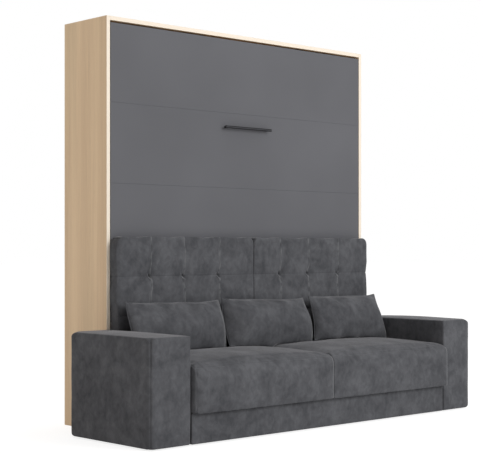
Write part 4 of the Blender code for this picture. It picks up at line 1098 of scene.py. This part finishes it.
class WALLBED_OT_build_mattress(bpy.types.Operator):
    """Sews the mattress: a quilted top and bottom, tape-bound edges and firm sides."""

    bl_idname = "wallbed.build_mattress"
    bl_label = "Build Mattress"

    cell = 0.022
    quilt, quilt_depth = 0.24, 0.009
    rounding = 0.036
    tape = 0.004
    corner_steps = 6

    def execute(self, context):
        low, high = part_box("mattress")
        half = (high - low) / 2
        points, quads = rounded_box(half, self.rounding, self.cell)
        x, y, z = points.T
        face = unit(np.abs(y) / half.y) ** 4
        rising, falling = (np.sin(math.pi * line / self.quilt) for line in (x + z, x - z))
        waves = np.abs(rising) * np.abs(falling)
        points[:, 1] -= np.sign(y) * face * (self.quilt_depth - self.quilt_depth * waves**0.35)
        middle = np.array((low + high) / 2)
        obj = add_piece("mattress_cover", points + middle, quads, "ticking")
        upholster(obj, "bed", 0.9, "mattress", slot="ticking")
        bm = bmesh.new()
        for end in (-1, 1):
            path = self.edge_path(half, end * (half.y - self.rounding * 0.35))
            add_tube(bm, path + middle, self.tape)
        bmesh.ops.recalc_face_normals(bm, faces=bm.faces)
        add_rigid("mattress_tape", bm, "bed", "ticking")
        return {"FINISHED"}

    def edge_path(self, half, y):
        """A round-cornered rectangle just inside the mattress's outline, in X and Z."""
        reach_x, reach_z = half.x - self.rounding - self.tape, half.z - self.rounding - self.tape
        radius = self.rounding * 0.93
        path = []
        for quarter, (sx, sz) in enumerate(((1, 1), (-1, 1), (-1, -1), (1, -1))):
            for k in range(self.corner_steps + 1):
                turn = math.pi / 2 * (quarter + k / self.corner_steps)
                x, z = radius * math.cos(turn), radius * math.sin(turn)
                path.append((sx * reach_x + x, y, sz * reach_z + z))
        return np.array(path)


class WALLBED_OT_build_screws(bpy.types.Operator):
    """Screws in the pivot plates and brackets, set out by Geometry Nodes."""

    bl_idname = "wallbed.build_screws"
    bl_label = "Build Screws"

    bracket_plate, pivot_plate = 0.002, 0.004
    bracket_inset, spring_inset = 0.012, 0.009
    row_lift, plate_pitch = 0.03, 0.06

    def execute(self, context):
        head = context.scene.wallbed_cabinet.screw_head
        places = {"root": [], "bed": []}
        for side, sign in zip(SIDES, (-1, 1)):
            inset = self.bracket_inset
            low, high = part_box(f"pivot_bracket_{side}")
            wall = (low.x if sign < 0 else high.x) - sign * self.bracket_plate
            rows = (high.z - inset, (low.z + high.z) / 2 + self.row_lift)
            spots = [(y, z) for y in (low.y + inset, high.y - inset) for z in rows]
            spots.append((high.y - inset, low.z + inset))
            low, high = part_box(f"spring_bracket_{side}")
            rows = (low.z + self.spring_inset, high.z - self.spring_inset)
            spots += [(y, z) for y in (low.y + self.spring_inset, high.y - self.spring_inset) for z in rows]
            places["root"] += [((wall, y, z), (-sign, 0, 0)) for y, z in spots]
            low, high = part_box(f"bed_pivot_plate_{side}")
            outer = (high.x if sign < 0 else low.x) + sign * self.pivot_plate
            top, back = high.z - inset, high.y - inset
            spots = ((back, top), (high.y - self.plate_pitch, top), (back, low.z + inset))
            places["bed"] += [((outer, y, z), (sign, 0, 0)) for y, z in spots]
        for body, spots in places.items():
            obj = scatter(f"plate_screws_{body}", *zip(*spots), screw_tree(), {"Head Radius": head})
            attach(obj, body)
        return {"FINISHED"}


def screw_tree():
    """Pan heads with a driver recess at each point, turned to face along its facing."""
    tree = Tree(bpy.data.node_groups.new("plate_screws", "GeometryNodeTree"))
    panel = tree.tree.interface
    panel.new_socket("Geometry", in_out="INPUT", socket_type="NodeSocketGeometry")
    radius = panel.new_socket("Head Radius", in_out="INPUT", socket_type="NodeSocketFloat")
    radius.default_value, radius.subtype = 0.0045, "DISTANCE"
    finish = panel.new_socket("Finish", in_out="INPUT", socket_type="NodeSocketMaterial")
    finish.default_value = PALETTE["zinc_steel"]
    panel.new_socket("Geometry", in_out="OUTPUT", socket_type="NodeSocketGeometry")
    inlet = tree.node("NodeGroupInput").outputs

    def share(of_radius):
        return tree.maths("MULTIPLY", inlet["Head Radius"], of_radius)

    out = tree.out
    rim = {"Vertices": 16, "Radius Bottom": share(1.0), "Radius Top": share(0.72), "Depth": share(0.30)}
    rim = out("GeometryNodeMeshCone", "Mesh", rim)
    recess = {"Vertices": 6, "Radius": share(0.34), "Depth": share(0.40)}
    recess = out("GeometryNodeMeshCylinder", "Mesh", recess)
    offset = out("ShaderNodeCombineXYZ", "Vector", {"Z": share(0.30)})
    lifted = out("GeometryNodeTransform", "Geometry", {"Geometry": recess, "Translation": offset})
    cut = out("GeometryNodeMeshBoolean", "Mesh", {"Mesh 1": rim, "Mesh 2": lifted}, operation="DIFFERENCE")
    facing = out("GeometryNodeInputNamedAttribute", "Attribute", {"Name": "facing"}, data_type="FLOAT_VECTOR")
    turn = out("FunctionNodeAlignRotationToVector", "Rotation", {"Vector": facing})
    heads = {"Points": inlet["Geometry"], "Instance": cut, "Rotation": turn}
    heads = out("GeometryNodeInstanceOnPoints", "Instances", heads)
    real = out("GeometryNodeRealizeInstances", "Geometry", {"Geometry": heads})
    painted = out("GeometryNodeSetMaterial", "Geometry", {"Geometry": real, "Material": inlet["Finish"]})
    tree.node("NodeGroupOutput", {0: painted})
    return tree.tree


def scatter(name, points, facing, tree, values):
    """Runs a tree on a handful of points and keeps the result as a plain mesh."""
    mesh = bpy.data.meshes.new(name)
    mesh.from_pydata(points, [], [])
    attribute = mesh.attributes.new("facing", "FLOAT_VECTOR", "POINT")
    attribute.data.foreach_set("vector", np.array(facing, dtype=np.float32).ravel())
    obj = add_object(name, mesh)
    modifier = obj.modifiers.new("scatter", "NODES")
    modifier.node_group = tree
    for socket in tree.interface.items_tree:
        if socket.name in values and socket.in_out == "INPUT":
            modifier[socket.identifier] = values[socket.name]
    return apply_modifiers(obj)


class WALLBED_OT_build_stage(bpy.types.Operator):
    """A pale floor, soft light and a camera at the photograph's viewing angle."""

    bl_idname = "wallbed.build_stage"
    bl_label = "Build Stage"

    floor_reach = 60.0
    key_place, key_aim = (1.5, -6.1, 3.6), (0.0, 0.0, 0.9)
    warm_until, white_from = -0.6, 0.3
    sensor_width = 36.0

    def execute(self, context):
        stage = context.scene.wallbed_stage
        self.add_floor(stage)
        self.add_world(context, stage)
        self.add_lamp(stage)
        self.add_camera(context, stage)
        context.scene.view_settings.view_transform = "Standard"
        return {"FINISHED"}

    def add_floor(self, stage):
        """A wide floor that is white to the camera and still takes shadows."""
        made = Finish("floor_paint", 0.9)
        made.paint(stage.floor_pale)
        made.set("Specular IOR Level", 0.0)
        glow = made.out("ShaderNodeEmission", 0, {"Color": (1, 1, 1, 1), "Strength": stage.floor_glow})
        share = made.maths("MULTIPLY", made.seen(), stage.floor_share)
        mixed = made.out("ShaderNodeMixShader", 0, {0: share, 1: made.shader.outputs[0], 2: glow})
        made.feed(made.tree.nodes["Material Output"].inputs["Surface"], mixed)
        reach = self.floor_reach
        corners = [(-reach, -reach, 0), (reach, -reach, 0), (reach, reach, 0), (-reach, reach, 0)]
        add_piece("floor", corners, [(0, 1, 2, 3)], "floor_paint")

    def add_world(self, context, stage):
        """Light from all round, warm and dim on the left. The camera itself sees plain white."""
        world = bpy.data.worlds.new("studio")
        world.use_nodes = True
        context.scene.world = world
        sky = Tree(world.node_tree)
        x = sky.axis(sky.out("ShaderNodeTexCoord", "Generated"), "X")
        seen = sky.seen()
        level = sky.spread(seen, 0.0, 1.0, sky.spread(x, -1.0, 1.0, stage.world_dim, stage.world_bright))
        white = sky.maths("MAXIMUM", sky.spread(x, self.warm_until, self.white_from), seen)
        background = sky.tree.nodes["Background"].inputs
        sky.feed(background["Color"], sky.blend(white, stage.world_warm, (1, 1, 1)))
        sky.feed(background["Strength"], level)

    def add_lamp(self, stage):
        lamp = bpy.data.lights.new("key_lamp", "AREA")
        lamp.shape = "DISK"
        lamp.size = stage.key_width
        lamp.energy = stage.key_power
        obj = add_object("key_lamp", lamp)
        obj.location = self.key_place
        aim = Vector(self.key_aim) - Vector(self.key_place)
        obj.rotation_euler = aim.to_track_quat("-Z", "Y").to_euler()

    def add_camera(self, context, stage):
        data = bpy.data.cameras.new("camera")
        data.sensor_width = self.sensor_width
        data.lens = stage.focal_pixels / stage.photo_width * data.sensor_width
        data.shift_y = stage.horizon_drop / stage.photo_width
        obj = add_object("camera", data)
        obj.location = (stage.camera_right, stage.camera_back, stage.camera_height)
        obj.rotation_euler = (math.pi / 2, 0, -stage.camera_turn)
        context.scene.camera = obj


class WALLBED_PT_panel(bpy.types.Panel):
    """Lists the steps in the sidebar, in the order in which they are run."""

    bl_label = "Wall Bed"
    bl_space_type = "VIEW_3D"
    bl_region_type = "UI"
    bl_category = "Wall Bed"

    def draw(self, context):
        for step in STEPS:
            self.layout.operator(step.bl_idname)


STEPS = (
    WALLBED_OT_finish_frame,
    WALLBED_OT_build_tongues,
    WALLBED_OT_build_arms,
    WALLBED_OT_build_glides,
    WALLBED_OT_build_plinth,
    WALLBED_OT_build_seat,
    WALLBED_OT_build_back,
    WALLBED_OT_build_pillows,
    WALLBED_OT_build_mattress,
    WALLBED_OT_build_screws,
    WALLBED_OT_build_stage,
)
GROUPS = {
    "wallbed_cabinet": WALLBED_PG_cabinet,
    "wallbed_velvet": WALLBED_PG_velvet,
    "wallbed_cushions": WALLBED_PG_cushions,
    "wallbed_stage": WALLBED_PG_stage,
}


def register():
    for name, group in GROUPS.items():
        bpy.utils.register_class(group)
        setattr(bpy.types.Scene, name, PointerProperty(type=group))
    for step in STEPS:
        bpy.utils.register_class(step)
    bpy.utils.register_class(WALLBED_PT_panel)


def unregister():
    bpy.utils.unregister_class(WALLBED_PT_panel)
    for step in reversed(STEPS):
        bpy.utils.unregister_class(step)
    for name, group in GROUPS.items():
        delattr(bpy.types.Scene, name)
        bpy.utils.unregister_class(group)


def main():
    register()
    for step in STEPS:
        family, call = step.bl_idname.split(".")
        getattr(getattr(bpy.ops, family), call)()


if __name__ == "__main__":
    main()
